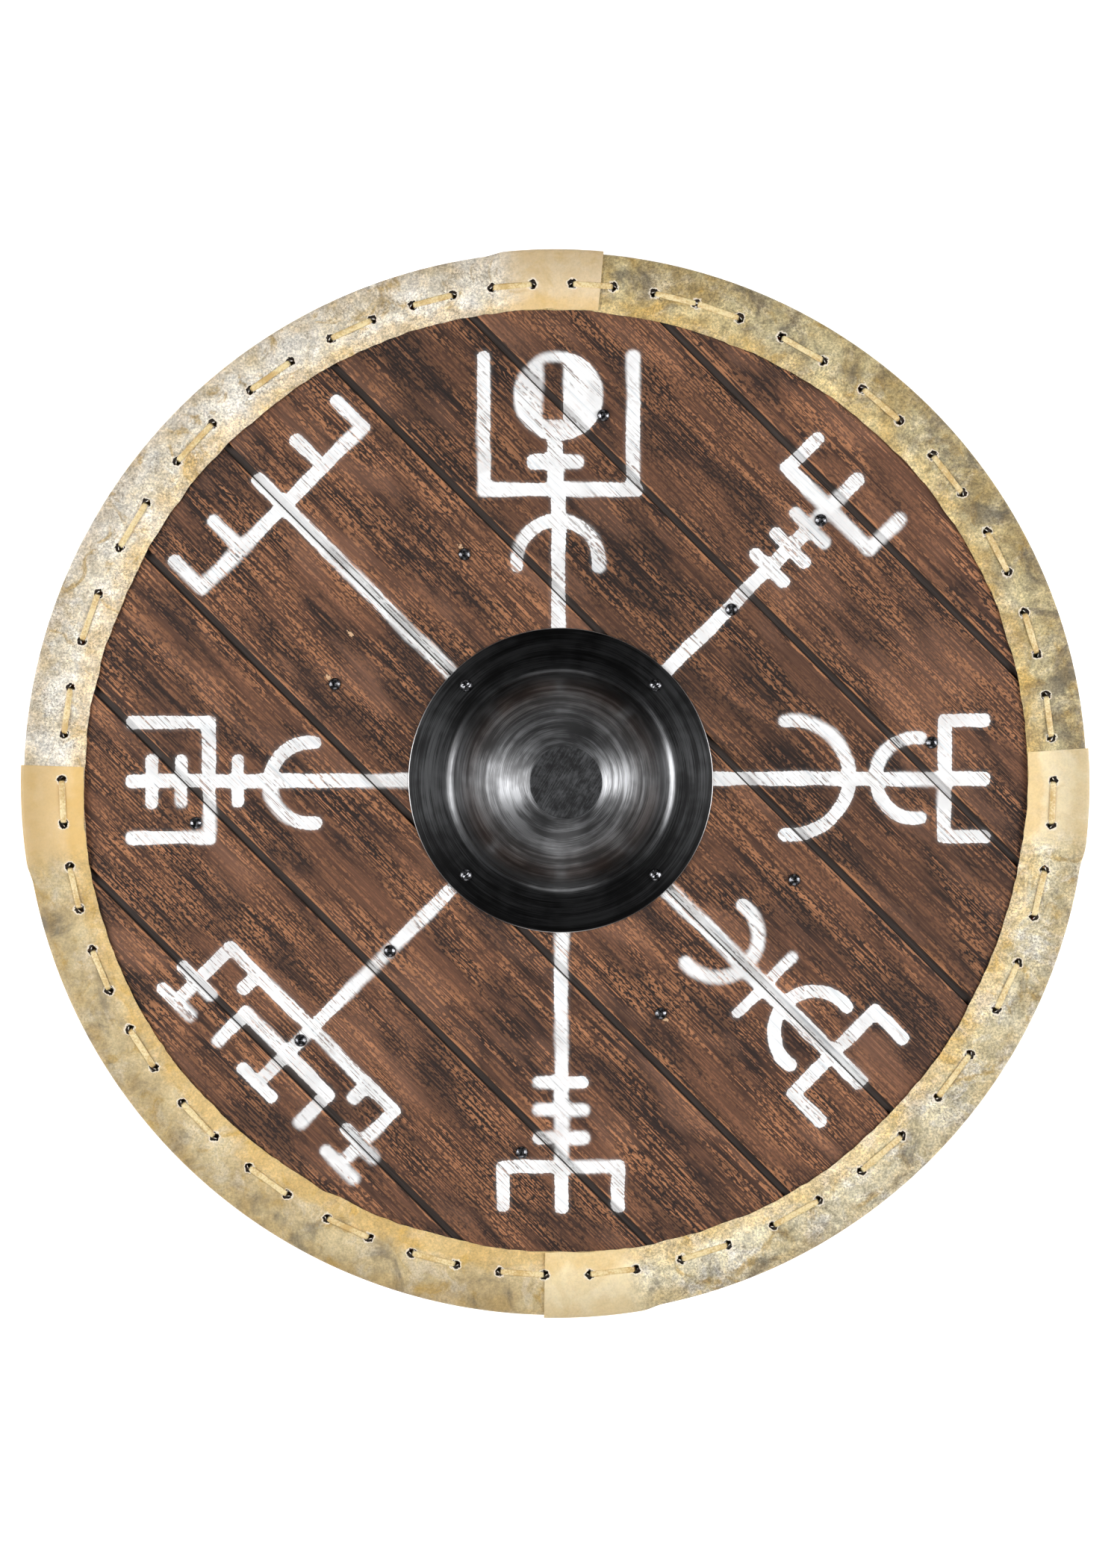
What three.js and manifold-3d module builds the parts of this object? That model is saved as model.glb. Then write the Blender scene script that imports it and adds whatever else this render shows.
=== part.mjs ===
// Wooden round shield, lying face up on its back battens.
//
// Eight tongue-and-groove boards run diagonally and are held by three battens screwed on behind;
// the middle one is also the grip. A steel boss covers the hand hole. Four overlapping strips of
// rawhide are folded over the edge and sewn on with one flat lace in a running stitch.
//
// Frame: millimetres, +Z out of the painted face, +Y towards the top of the shield and +X to its
// right. The origin is the centre of the grip's flat back face, on the boss's axis, so Z = 0 is
// also the surface that the shield lies on.

import * as THREE from 'three';
import { mergeVertices } from 'three/addons/utils/BufferGeometryUtils.js';
import Module from 'manifold-3d';

const wasm = await Module();
wasm.setup();

// ---------------------------------------------------------------- driving dimensions

const GAP = 0.3;                 // clearance left between pieces that touch

// Heights above the surface the shield lies on.
const BATTEN_THICKNESS = 18;
const BOARD_THICKNESS = 12;
const BACK_Z = BATTEN_THICKNESS + GAP;
const FACE_Z = BACK_Z + BOARD_THICKNESS;

// Disc of boards. The boss, battens and middle joint sit a little off the disc's centre.
const DISC_RADIUS = 373;
const DISC_CENTRE = { x: -3.9, y: -2.3 };
const DISC_FACETS = 48;

// Boards.
const BOARD_COUNT = 8;
const BOARD_COVER = 93.5;        // from joint to joint
const CHANNEL_WIDTH = 5.6;       // square channel that shows at each joint
const TONGUE_THICKNESS = 4;
const TONGUE_LENGTH = 6;
const PLANK_SPARE = 30;          // cut over-long and over-wide, before the disc is sawn out

// Grip and braces, in distances along and across the boards from the boss's axis.
const BATTEN_WIDTH = 42;
const BATTEN_CHAMFER = 4;
const BATTEN_ARRIS = 0.6;        // taken off the edges that lie against the boards
const BATTENS = [
  { name: 'upper_brace', along: -160.7, half: 236, screws: [-203.3, -64.7, 64.7, 203.3] },
  { name: 'grip', along: 0, half: 290, screws: [-259.4, -170.3, 170.3, 259.4] },
  { name: 'lower_brace', along: 166.2, half: 236, screws: [-205, -66.4, 66.9, 203.8] },
];
const GRIP_WIDTH = 32;           // where the hand closes round it
const GRIP_HALF_LENGTH = 58;
const GRIP_TAPER = 26;
const GRIP_ROUNDING = 7;
const HAND_HOLE_RADIUS = 66;

// Boss.
const BOSS_SHEET = 1.8;
const BOSS_FLANGE_RADIUS = 107.5;
const BOSS_WALL_RADIUS = 74;     // of the dome, just above the fillet
const BOSS_FILLET = 6;
const BOSS_HEIGHT = 66;          // from the boards' face to the flat top
const BOSS_TOP_RADIUS = 25;      // of the flat ground on top of the dome
const BOSS_SCREW_RADIUS = 94.4;
const BOSS_FACETS = 30;
const BOSS_DOME_STEPS = 5;

// Screws.
const HEAD_RADIUS = 4.4;
const HEAD_HEIGHT = 2.6;
const SHANK_RADIUS = 2;
const SHANK_HOLE_RADIUS = 2.5;
const SCREW_END_Z = 5;           // where a batten screw ends inside its batten
const JOINT_SCREW_END_Z = 20;    // where a boss screw ends inside the boards alone

// Rawhide rim. Angles are clockwise from the top of the shield, in degrees.
const HIDE_THICKNESS = 1.6;
const HIDE_INNER_RADIUS = 332.4;
const HIDE_WANDER = [            // how the hand-cut edge wanders: waves per turn, mm, degrees
  [1, 1.8, 22], [2, 0.5, 109], [3, 0.5, 59], [4, 1.4, -93],
];
const HIDE_LAP = 10;             // how far one strip's end runs under the next
const HIDE_RAMP = 2.5;           // over which a strip climbs onto the one below
const HIDE_STEP = HIDE_THICKNESS + GAP;
const HIDE_STRIPS = [
  { name: 'rim_upper_right', from: 5.2, to: 86.2, startOver: false, endOver: false },
  { name: 'rim_lower_right', from: 86.2, to: 181.2, startOver: true, endOver: true },
  { name: 'rim_lower_left', from: 181.2, to: 272, startOver: false, endOver: true },
  { name: 'rim_upper_left', from: 272, to: 365.2, startOver: false, endOver: true },
];

// Lace. An odd number of holes, so the two ends of the lace share one and turn back behind.
const LACE_WIDTH = 3.7;
const LACE_THICKNESS = 1.2;
const LACE_HOLES = 67;
const LACE_HOLE_SIZE = 4.6;
const LACE_START = 16.2;
const LACE_RADIUS = 349.3;
const LACE_RADIUS_WANDER = { mm: 3.4, towards: 30 };
const LACE_DRIFT_MEAN = 2;
const LACE_DRIFT = [             // how the hand-set spacing drifts: waves per turn, degrees, degrees
  [1, 2.1, -116], [2, 1.5, -52], [3, 0.7, 166], [4, 1.1, 174],
];
const LACE_TAIL = 24;
const LACE_TWIN_GAP = 0.5;       // between the lace's two ends in the hole they share

// ---------------------------------------------------------------- directions and small helpers

const ALONG = new THREE.Vector3(1, -1, 0).normalize();   // along the boards, to the lower right
const ACROSS = new THREE.Vector3(1, 1, 0).normalize();   // across them, to the upper right
const UP = new THREE.Vector3(0, 0, 1);

const radians = THREE.MathUtils.degToRad;

/** A point given along and across the boards, at height z. */
function onBoards(along, across, z) {
  return new THREE.Vector3().addScaledVector(ALONG, along).addScaledVector(ACROSS, across).setZ(z);
}

/** A point given by its clockwise angle from the top and its distance from the disc's centre. */
function onDisc(degrees, radius, z) {
  const a = radians(degrees);
  return new THREE.Vector3(
    DISC_CENTRE.x + radius * Math.sin(a),
    DISC_CENTRE.y + radius * Math.cos(a),
    z,
  );
}

/** Sum of slow waves round the shield, from rows of waves per turn, height and phase. */
function wander(waves, degrees) {
  return waves.reduce((sum, [n, height, phase]) => sum + height * Math.cos(radians(n * degrees - phase)), 0);
}

/** A closed three.js geometry as a manifold solid. */
function toSolid(geometry) {
  const bare = geometry.clone();
  bare.deleteAttribute('normal');
  bare.deleteAttribute('uv');
  const merged = mergeVertices(bare, 1e-4);
  return new wasm.Manifold(new wasm.Mesh({
    numProp: 3,
    vertProperties: new Float32Array(merged.attributes.position.array),
    triVerts: new Uint32Array(merged.index.array),
  }));
}

/** A manifold solid as a three.js geometry. */
function toGeometry(solid) {
  const mesh = solid.getMesh();
  const geometry = new THREE.BufferGeometry();
  geometry.setAttribute('position', new THREE.BufferAttribute(mesh.vertProperties, 3));
  geometry.setIndex(new THREE.BufferAttribute(mesh.triVerts, 1));
  geometry.computeVertexNormals();
  return geometry;
}

/** An upright cylinder between two heights. */
function drum(radius, low, high, facets, x = 0, y = 0) {
  const geometry = new THREE.CylinderGeometry(radius, radius, high - low, facets);
  geometry.rotateX(Math.PI / 2);
  geometry.translate(x, y, (low + high) / 2);
  return geometry;
}

/** Geometry of quads between neighbouring rings of points, closed at both ends by flat fans. */
function loft(rings) {
  const size = rings[0].length;
  const positions = rings.flat().flatMap((p) => [p.x, p.y, p.z]);
  const index = [];
  for (let r = 0; r + 1 < rings.length; r += 1) {
    for (let i = 0; i < size; i += 1) {
      const a = r * size + i;
      const b = r * size + ((i + 1) % size);
      index.push(a, b, b + size, a, b + size, a + size);
    }
  }
  const geometry = new THREE.BufferGeometry();
  geometry.setAttribute('position', new THREE.Float32BufferAttribute(positions, 3));
  return { geometry, index, size, last: (rings.length - 1) * size };
}

// ---------------------------------------------------------------- screw positions

const bossScrewAngles = [0, 90, 180, 270];

/** Boss screws, on the boards' directions: two reach the grip, two sit in the middle joint. */
const bossScrews = bossScrewAngles.map((turn) => {
  const along = Math.round(Math.cos(radians(turn))) * BOSS_SCREW_RADIUS;
  const across = Math.round(Math.sin(radians(turn))) * BOSS_SCREW_RADIUS;
  const inGrip = along === 0;
  return { place: onBoards(along, across, 0), end: inGrip ? SCREW_END_Z : JOINT_SCREW_END_Z };
});

const battenScrews = BATTENS.flatMap((batten) => batten.screws.map((across) => ({
  place: onBoards(batten.along, across, 0), end: SCREW_END_Z,
})));

/** Clearance holes for every screw's shank. */
function screwHoles() {
  return [...bossScrews, ...battenScrews].map(({ place, end }) => toSolid(
    drum(SHANK_HOLE_RADIUS, end - GAP, FACE_Z + 10, 6, place.x, place.y),
  ));
}

// ---------------------------------------------------------------- lace holes

/** Clockwise angle of lace hole k. */
function laceAngle(k) {
  const even = (360 * k) / LACE_HOLES;
  return LACE_START + LACE_DRIFT_MEAN + even + wander(LACE_DRIFT, even);
}

function laceRadius(degrees) {
  return LACE_RADIUS + LACE_RADIUS_WANDER.mm * Math.cos(radians(degrees - LACE_RADIUS_WANDER.towards));
}

function laceHoles() {
  return Array.from({ length: LACE_HOLES }, (_, k) => {
    const degrees = laceAngle(k);
    const box = new THREE.BoxGeometry(LACE_HOLE_SIZE, LACE_HOLE_SIZE, 3 * BOARD_THICKNESS);
    box.rotateZ(-radians(degrees));
    const place = onDisc(degrees, laceRadius(degrees), (BACK_Z + FACE_Z) / 2);
    box.translate(place.x, place.y, place.z);
    return toSolid(box);
  });
}

const shankHoles = wasm.Manifold.union(screwHoles());
const stitchHoles = wasm.Manifold.union(laceHoles());

// ---------------------------------------------------------------- boards

/** Section of one board, across it and up: a groove on its left, a tongue on its right. */
function boardSection(leftJoint, rightJoint, isFirst, isLast) {
  const left = leftJoint + CHANNEL_WIDTH / 2;
  const shoulder = rightJoint - CHANNEL_WIDTH / 2;
  const seat = rightJoint + CHANNEL_WIDTH / 2;
  const middle = (BACK_Z + FACE_Z) / 2;
  const tongue = TONGUE_THICKNESS / 2;
  const groove = tongue + GAP;
  const section = new THREE.Shape();
  section.moveTo(left, BACK_Z);
  if (isLast) {
    section.lineTo(rightJoint, BACK_Z).lineTo(rightJoint, FACE_Z);
  } else {
    section.lineTo(seat - GAP, BACK_Z).lineTo(seat - GAP, middle - tongue);
    section.lineTo(seat + TONGUE_LENGTH, middle - tongue).lineTo(seat + TONGUE_LENGTH, middle + tongue);
    section.lineTo(shoulder, middle + tongue).lineTo(shoulder, FACE_Z);
  }
  section.lineTo(left, FACE_Z);
  if (!isFirst) {
    const depth = left + TONGUE_LENGTH + GAP;
    section.lineTo(left, middle + groove).lineTo(depth, middle + groove);
    section.lineTo(depth, middle - groove).lineTo(left, middle - groove);
  }
  section.closePath();
  return section;
}

function makeBoards() {
  const frame = new THREE.Matrix4().makeBasis(ACROSS, UP, ALONG);
  const disc = toSolid(drum(DISC_RADIUS, 0, 2 * FACE_Z, DISC_FACETS, DISC_CENTRE.x, DISC_CENTRE.y));
  const handHole = toSolid(drum(HAND_HOLE_RADIUS, 0, 2 * FACE_Z, 32));
  const outline = disc.subtract(handHole);
  const length = 2 * (DISC_RADIUS + PLANK_SPARE);
  const boards = [];
  for (let i = 0; i < BOARD_COUNT; i += 1) {
    const isFirst = i === 0;
    const isLast = i === BOARD_COUNT - 1;
    const joint = (i - BOARD_COUNT / 2) * BOARD_COVER;
    const section = boardSection(
      isFirst ? joint - PLANK_SPARE : joint,
      isLast ? joint + BOARD_COVER + PLANK_SPARE : joint + BOARD_COVER,
      isFirst,
      isLast,
    );
    const plank = new THREE.ExtrudeGeometry(section, { depth: length, bevelEnabled: false, steps: 1 });
    plank.translate(0, 0, -length / 2);
    plank.applyMatrix4(frame);
    const solid = toSolid(plank).intersect(outline).subtract(shankHoles).subtract(stitchHoles);
    boards.push({ name: `board_${i + 1}`, geometry: toGeometry(solid) });
  }
  return boards;
}

// ---------------------------------------------------------------- battens and grip

/** Half-width of a batten at a distance across the boards. */
function battenHalfWidth(isGrip, across) {
  const wide = BATTEN_WIDTH / 2;
  if (!isGrip) {
    return wide;
  }
  const t = THREE.MathUtils.smoothstep(Math.abs(across), GRIP_HALF_LENGTH, GRIP_HALF_LENGTH + GRIP_TAPER);
  return THREE.MathUtils.lerp(GRIP_WIDTH / 2, wide, t);
}

/** How far the upper edges of a batten are taken off, where it stands free behind the hand hole. */
function battenUpperChamfer(isGrip, across) {
  return isGrip && Math.abs(across) < GRIP_HALF_LENGTH ? GRIP_ROUNDING : BATTEN_ARRIS;
}

/** Ring of a batten's section: flat back, chamfered edges. */
function battenRing(batten, across, shrink) {
  const isGrip = batten.name === 'grip';
  const half = battenHalfWidth(isGrip, across) - shrink;
  const lower = isGrip && Math.abs(across) < GRIP_HALF_LENGTH ? GRIP_ROUNDING : BATTEN_CHAMFER;
  const upper = battenUpperChamfer(isGrip, across);
  const outline = [
    [-half + lower, shrink], [half - lower, shrink], [half, shrink + lower],
    [half, BATTEN_THICKNESS - upper], [half - upper, BATTEN_THICKNESS],
    [-half + upper, BATTEN_THICKNESS], [-half, BATTEN_THICKNESS - upper], [-half, shrink + lower],
  ];
  return outline.map(([a, z]) => onBoards(batten.along + a, across, z));
}

function makeBattens() {
  return BATTENS.map((batten) => {
    const stops = [-batten.half, -batten.half + BATTEN_CHAMFER];
    if (batten.name === 'grip') {
      const narrow = GRIP_HALF_LENGTH;
      const outer = narrow + GRIP_TAPER;
      const middle = narrow + GRIP_TAPER / 2;
      stops.push(-outer, -middle, -narrow, -narrow + 1, narrow - 1, narrow, middle, outer);
    }
    stops.push(batten.half - BATTEN_CHAMFER, batten.half);
    const rings = stops.map((across) => (
      battenRing(batten, across, Math.abs(across) === batten.half ? BATTEN_CHAMFER - 1 : 0)
    ));
    const solid = toSolid(closeLoft(rings)).subtract(shankHoles);
    return { name: batten.name, geometry: toGeometry(solid) };
  });
}

/** A loft closed by a fan at each end; its rings are convex. */
function closeLoft(rings) {
  const { geometry, index, size, last } = loft(rings);
  for (let i = 1; i + 1 < size; i += 1) {
    index.push(0, i + 1, i, last, last + i, last + i + 1);
  }
  geometry.setIndex(index);
  return orient(geometry);
}

/** Turns a closed geometry's faces outwards if they point in. */
function orient(geometry) {
  const p = geometry.attributes.position;
  const index = geometry.index.array;
  const a = new THREE.Vector3();
  const b = new THREE.Vector3();
  const c = new THREE.Vector3();
  let volume = 0;
  for (let i = 0; i < index.length; i += 3) {
    a.fromBufferAttribute(p, index[i]);
    b.fromBufferAttribute(p, index[i + 1]);
    c.fromBufferAttribute(p, index[i + 2]);
    volume += a.dot(b.cross(c));
  }
  if (volume < 0) {
    const flipped = Array.from(index);
    for (let i = 0; i < flipped.length; i += 3) {
      [flipped[i + 1], flipped[i + 2]] = [flipped[i + 2], flipped[i + 1]];
    }
    geometry.setIndex(flipped);
  }
  return geometry;
}

// ---------------------------------------------------------------- boss

/** Points on an arc about (r, z), from one angle to another, in degrees from the outward direction. */
function arc(r, z, radius, from, to, steps) {
  return Array.from({ length: steps + 1 }, (_, i) => {
    const a = radians(THREE.MathUtils.lerp(from, to, i / steps));
    return new THREE.Vector2(r + radius * Math.cos(a), z + radius * Math.sin(a));
  });
}

function makeBoss() {
  const bottom = FACE_Z + GAP;
  const top = bottom + BOSS_SHEET;
  const filletR = BOSS_WALL_RADIUS + BOSS_FILLET;
  const filletZ = top + BOSS_FILLET;
  const topZ = FACE_Z + BOSS_HEIGHT;
  // The sphere through the edge of the flat top and the top of the fillet.
  const drop = BOSS_WALL_RADIUS ** 2 - BOSS_TOP_RADIUS ** 2;
  const centre = (topZ + filletZ - drop / (topZ - filletZ)) / 2;
  const sphere = Math.hypot(BOSS_TOP_RADIUS, topZ - centre);
  const steep = THREE.MathUtils.radToDeg(Math.acos(BOSS_WALL_RADIUS / sphere));
  const shallow = THREE.MathUtils.radToDeg(Math.acos(BOSS_TOP_RADIUS / sphere));
  const outside = [
    new THREE.Vector2(0, topZ),
    ...arc(0, centre, sphere, shallow, steep, BOSS_DOME_STEPS),
    ...arc(filletR, filletZ, BOSS_FILLET, 190, 270, 2),
    new THREE.Vector2(BOSS_FLANGE_RADIUS - 0.5, top),
    new THREE.Vector2(BOSS_FLANGE_RADIUS, top - 0.5),
  ];
  const inside = [
    new THREE.Vector2(BOSS_FLANGE_RADIUS, bottom),
    ...arc(filletR, filletZ, BOSS_FILLET + BOSS_SHEET, 270, 190, 2),
    ...arc(0, centre, sphere - BOSS_SHEET, steep, shallow, BOSS_DOME_STEPS),
    new THREE.Vector2(0, topZ - BOSS_SHEET),
  ];
  const profile = [...outside, ...inside];
  const shell = new THREE.LatheGeometry(profile, BOSS_FACETS);
  shell.rotateX(Math.PI / 2);
  const solid = toSolid(orientIndexed(shell)).subtract(shankHoles);
  return { name: 'boss', geometry: toGeometry(solid) };
}

/** The same for a geometry whose seams are not merged yet; triangles without area are dropped. */
function orientIndexed(geometry) {
  const bare = geometry.clone();
  bare.deleteAttribute('normal');
  bare.deleteAttribute('uv');
  const merged = mergeVertices(bare, 1e-4);
  const index = Array.from(merged.index.array);
  const kept = [];
  for (let i = 0; i < index.length; i += 3) {
    const [a, b, c] = index.slice(i, i + 3);
    if (a !== b && b !== c && c !== a) {
      kept.push(a, b, c);
    }
  }
  merged.setIndex(kept);
  return orient(merged);
}

// ---------------------------------------------------------------- screws

function screwGeometry(seatZ, endZ) {
  const profile = [
    [0, seatZ + HEAD_HEIGHT],
    [HEAD_RADIUS * 0.6, seatZ + HEAD_HEIGHT * 0.88],
    [HEAD_RADIUS, seatZ + HEAD_HEIGHT * 0.3],
    [HEAD_RADIUS, seatZ],
    [SHANK_RADIUS, seatZ],
    [0, endZ],
  ].map(([r, z]) => new THREE.Vector2(r, z));
  const body = new THREE.LatheGeometry(profile, 8);
  body.rotateX(Math.PI / 2);
  return orientIndexed(body);
}

function makeScrews() {
  const bossSeat = FACE_Z + GAP + BOSS_SHEET + GAP;
  const boardSeat = FACE_Z + GAP;
  const place = (screw, seat, name) => {
    const geometry = screwGeometry(seat, screw.end);
    return { name, geometry, position: screw.place };
  };
  return [
    ...bossScrews.map((screw, i) => place(screw, bossSeat, `boss_screw_${i + 1}`)),
    ...battenScrews.map((screw, i) => place(screw, boardSeat, `batten_screw_${i + 1}`)),
  ];
}

// ---------------------------------------------------------------- rawhide rim

/** The laps, each from where the lower strip ends to where the upper strip's end shows. */
const laps = HIDE_STRIPS.flatMap((strip) => [
  ...(strip.startOver ? [{ low: strip.from, high: strip.from + HIDE_LAP }] : []),
  ...(strip.endOver ? [{ low: strip.to - HIDE_LAP, high: strip.to }] : []),
]);

/** Whether a strip lies on another one between two angles; a turn more or less is the same place. */
function doubled(from, to) {
  return laps.some(({ low, high }) => [-360, 0, 360].some((turn) => (
    to + turn > low - HIDE_RAMP && from + turn < high + 0.5
  )));
}

/** U-shaped section of a strip at one angle, lifted off the wood by the strip beneath it. */
function hideRing(degrees, lift) {
  const innerEdge = HIDE_INNER_RADIUS + wander(HIDE_WANDER, degrees);
  const web = DISC_RADIUS + GAP + lift;
  const outer = web + HIDE_THICKNESS;
  const round = HIDE_THICKNESS;
  const over = FACE_Z + GAP + lift;
  const under = BACK_Z - GAP - lift;
  const top = over + HIDE_THICKNESS;
  const bottom = under - HIDE_THICKNESS;
  return [
    [innerEdge, bottom], [outer - round, bottom], [outer, bottom + round],
    [outer, top - round], [outer - round, top], [innerEdge, top],
    [innerEdge, over], [web, over], [web, under], [innerEdge, under],
  ].map(([r, z]) => onDisc(degrees, r, z));
}

/** Angles and lifts of a strip's sections: every facet of the disc, its ends and its ramps. */
function hideStops(strip) {
  const stops = new Map();
  const from = strip.startOver ? strip.from : strip.from - HIDE_LAP;
  const to = strip.endOver ? strip.to : strip.to + HIDE_LAP;
  const facet = 360 / DISC_FACETS;
  const rampIn = strip.from + HIDE_LAP + 0.5;
  const rampOut = strip.to - HIDE_LAP - 0.5;
  const liftAt = (degrees) => {
    const start = strip.startOver ? (rampIn + HIDE_RAMP - degrees) / HIDE_RAMP : 0;
    const end = strip.endOver ? (degrees - rampOut + HIDE_RAMP) / HIDE_RAMP : 0;
    return THREE.MathUtils.clamp(Math.max(start, end), 0, 1) * HIDE_STEP;
  };
  const add = (degrees) => stops.set(Number(degrees.toFixed(3)), liftAt(degrees));
  for (let n = Math.ceil((from + 0.4) / facet); n * facet < to - 0.4; n += 1) {
    add(n * facet);
  }
  add(from);
  add(to);
  if (strip.startOver) {
    add(rampIn);
    add(rampIn + HIDE_RAMP);
  }
  if (strip.endOver) {
    add(rampOut);
    add(rampOut - HIDE_RAMP);
  }
  return [...stops.entries()].sort((a, b) => a[0] - b[0]);
}

function makeRim() {
  return HIDE_STRIPS.map((strip) => {
    const rings = hideStops(strip).map(([degrees, lift]) => hideRing(degrees, lift));
    const { geometry, index, last } = loft(rings);
    // Each end of the U is closed by four quads: front flange, web, back flange and rounded edge.
    [[5, 6, 7, 4], [4, 7, 8, 1], [1, 8, 9, 0], [1, 2, 3, 4]].forEach(([a, b, c, d]) => {
      index.push(a, c, b, a, d, c);
      index.push(last + a, last + b, last + c, last + a, last + c, last + d);
    });
    geometry.setIndex(index);
    const solid = toSolid(orient(geometry)).subtract(stitchHoles);
    return { name: strip.name, geometry: toGeometry(solid) };
  });
}

// ---------------------------------------------------------------- lace

/** Level of the lace's middle on the face or the back, between two angles. */
function laceLevel(onFace, from, to) {
  const off = GAP + HIDE_THICKNESS + GAP + LACE_THICKNESS / 2 + (doubled(from, to) ? HIDE_STEP : 0);
  return onFace ? FACE_Z + off : BACK_Z - off;
}

/** The lace's route, unrolled: distance round the shield and height. */
function laceRoute() {
  const arcLength = (degrees) => radians(degrees) * LACE_RADIUS;
  const twin = (LACE_THICKNESS + LACE_TWIN_GAP) / 2;
  const first = laceAngle(0);
  const tailLevel = laceLevel(false, first - 5, first + 5);
  const route = [[arcLength(first) + LACE_TAIL, tailLevel], [arcLength(first) + twin, tailLevel]];
  for (let k = 0; k < LACE_HOLES; k += 1) {
    const from = laceAngle(k);
    const to = laceAngle(k + 1);
    const level = laceLevel(k % 2 === 0, from, to);
    const start = arcLength(from) + (k === 0 ? twin : 0);
    const end = arcLength(to) - (k + 1 === LACE_HOLES ? twin : 0);
    route.push([start, level], [end, level]);
  }
  const end = arcLength(laceAngle(LACE_HOLES));
  route.push([end - twin, tailLevel], [end - LACE_TAIL, tailLevel]);
  return route.map(([x, y]) => new THREE.Vector2(x, y));
}

/** One side of a band of even width about a route that turns by right angles. */
function bandSide(route, offset) {
  return route.map((point, i) => {
    const before = route[Math.max(i - 1, 0)];
    const after = route[Math.min(i + 1, route.length - 1)];
    const side = new THREE.Vector2();
    [[before, point], [point, after]].forEach(([a, b], n) => {
      const step = b.clone().sub(a);
      const isEnd = (n === 0 && i === 0) || (n === 1 && i === route.length - 1);
      if (!isEnd) {
        step.normalize();
        side.add(new THREE.Vector2(-step.y, step.x));
      }
    });
    return point.clone().addScaledVector(side, offset);
  });
}

function makeLace() {
  const route = laceRoute();
  const half = LACE_THICKNESS / 2;
  const outline = [...bandSide(route, half), ...bandSide(route, -half).reverse()];
  const band = new THREE.ExtrudeGeometry(new THREE.Shape(outline), {
    depth: LACE_WIDTH, bevelEnabled: false, steps: 1,
  });
  const p = band.attributes.position;
  for (let i = 0; i < p.count; i += 1) {
    const degrees = THREE.MathUtils.radToDeg(p.getX(i) / LACE_RADIUS);
    const radius = laceRadius(degrees) + LACE_WIDTH / 2 - p.getZ(i);
    const point = onDisc(degrees, radius, p.getY(i));
    p.setXYZ(i, point.x, point.y, point.z);
  }
  return { name: 'lace', geometry: orientIndexed(band) };
}

// ---------------------------------------------------------------- the shield

const FINISHES = {
  board: { color: 0x4a2f22, roughness: 0.7, metalness: 0 },
  batten: { color: 0x5a3a28, roughness: 0.75, metalness: 0 },
  hide: { color: 0xd8c79c, roughness: 0.6, metalness: 0 },
  lace: { color: 0xd9c48d, roughness: 0.6, metalness: 0 },
  boss: { color: 0x4b4c4e, roughness: 0.35, metalness: 1 },
  screw: { color: 0x1a1a1b, roughness: 0.4, metalness: 1 },
};

const shield = new THREE.Group();
shield.name = 'round_shield';

function addPieces(pieces, finish) {
  pieces.forEach(({ name, geometry, position }) => {
    const mesh = new THREE.Mesh(geometry, new THREE.MeshStandardMaterial(FINISHES[finish]));
    mesh.name = name;
    if (position) {
      mesh.position.copy(position);
    }
    shield.add(mesh);
  });
}

addPieces(makeBoards(), 'board');
addPieces(makeBattens(), 'batten');
addPieces([makeBoss()], 'boss');
addPieces(makeScrews(), 'screw');
addPieces(makeRim(), 'hide');
addPieces([makeLace()], 'lace');

export default shield;
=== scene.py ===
"""Dresses the wooden round shield: boards, painted figure, boss, rawhide rim and lace.

Shapes are worked out in millimetres in the frame's own axes: +Z out of the painted face, +Y to the
top of the shield, +X to its right, with the origin under the boss on the surface it lies on.
"""

import logging
import math
from collections.abc import Iterable, Sequence
from dataclasses import dataclass, field
from enum import Enum
from typing import Any

import bpy
import numpy as np
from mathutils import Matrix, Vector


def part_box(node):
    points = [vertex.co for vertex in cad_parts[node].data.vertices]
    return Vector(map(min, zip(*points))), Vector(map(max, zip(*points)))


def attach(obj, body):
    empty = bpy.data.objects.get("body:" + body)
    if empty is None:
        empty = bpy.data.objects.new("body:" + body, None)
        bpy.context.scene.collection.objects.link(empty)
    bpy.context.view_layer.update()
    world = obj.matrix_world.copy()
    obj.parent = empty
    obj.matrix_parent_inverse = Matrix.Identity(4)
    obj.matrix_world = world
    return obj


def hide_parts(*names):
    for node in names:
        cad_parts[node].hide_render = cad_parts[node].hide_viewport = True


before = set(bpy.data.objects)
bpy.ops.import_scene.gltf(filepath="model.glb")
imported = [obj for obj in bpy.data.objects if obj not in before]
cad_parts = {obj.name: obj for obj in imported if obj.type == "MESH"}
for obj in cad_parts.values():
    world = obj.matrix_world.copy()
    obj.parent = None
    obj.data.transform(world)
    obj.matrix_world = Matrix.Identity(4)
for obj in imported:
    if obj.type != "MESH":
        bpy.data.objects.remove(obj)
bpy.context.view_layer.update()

MM = 0.001
ROOT = "root"
HALF_TURN = math.pi
ALONG = np.array([1.0, -1.0]) / math.sqrt(2)
ACROSS = np.array([1.0, 1.0]) / math.sqrt(2)
BOARDS_TURN = 45

logging.basicConfig(level=logging.INFO, format="%(message)s")
log = logging.getLogger("shield")

Array = np.ndarray
Profile = list[tuple[float, float]]
Waves = tuple[tuple[int, float, float], ...]


# ---------------------------------------------------------------- measures taken from the frame


def node_box(node: str) -> tuple[Array, Array]:
    """Lowest and highest corner of a CAD node, in millimetres."""
    low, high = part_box(node)
    return np.array(low) / MM, np.array(high) / MM


def joined_box(nodes: Iterable[str]) -> tuple[Array, Array]:
    """Lowest and highest corner of several CAD nodes together, in millimetres."""
    boxes = [node_box(node) for node in nodes]
    return np.min([low for low, _ in boxes], axis=0), np.max([high for _, high in boxes], axis=0)


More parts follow.
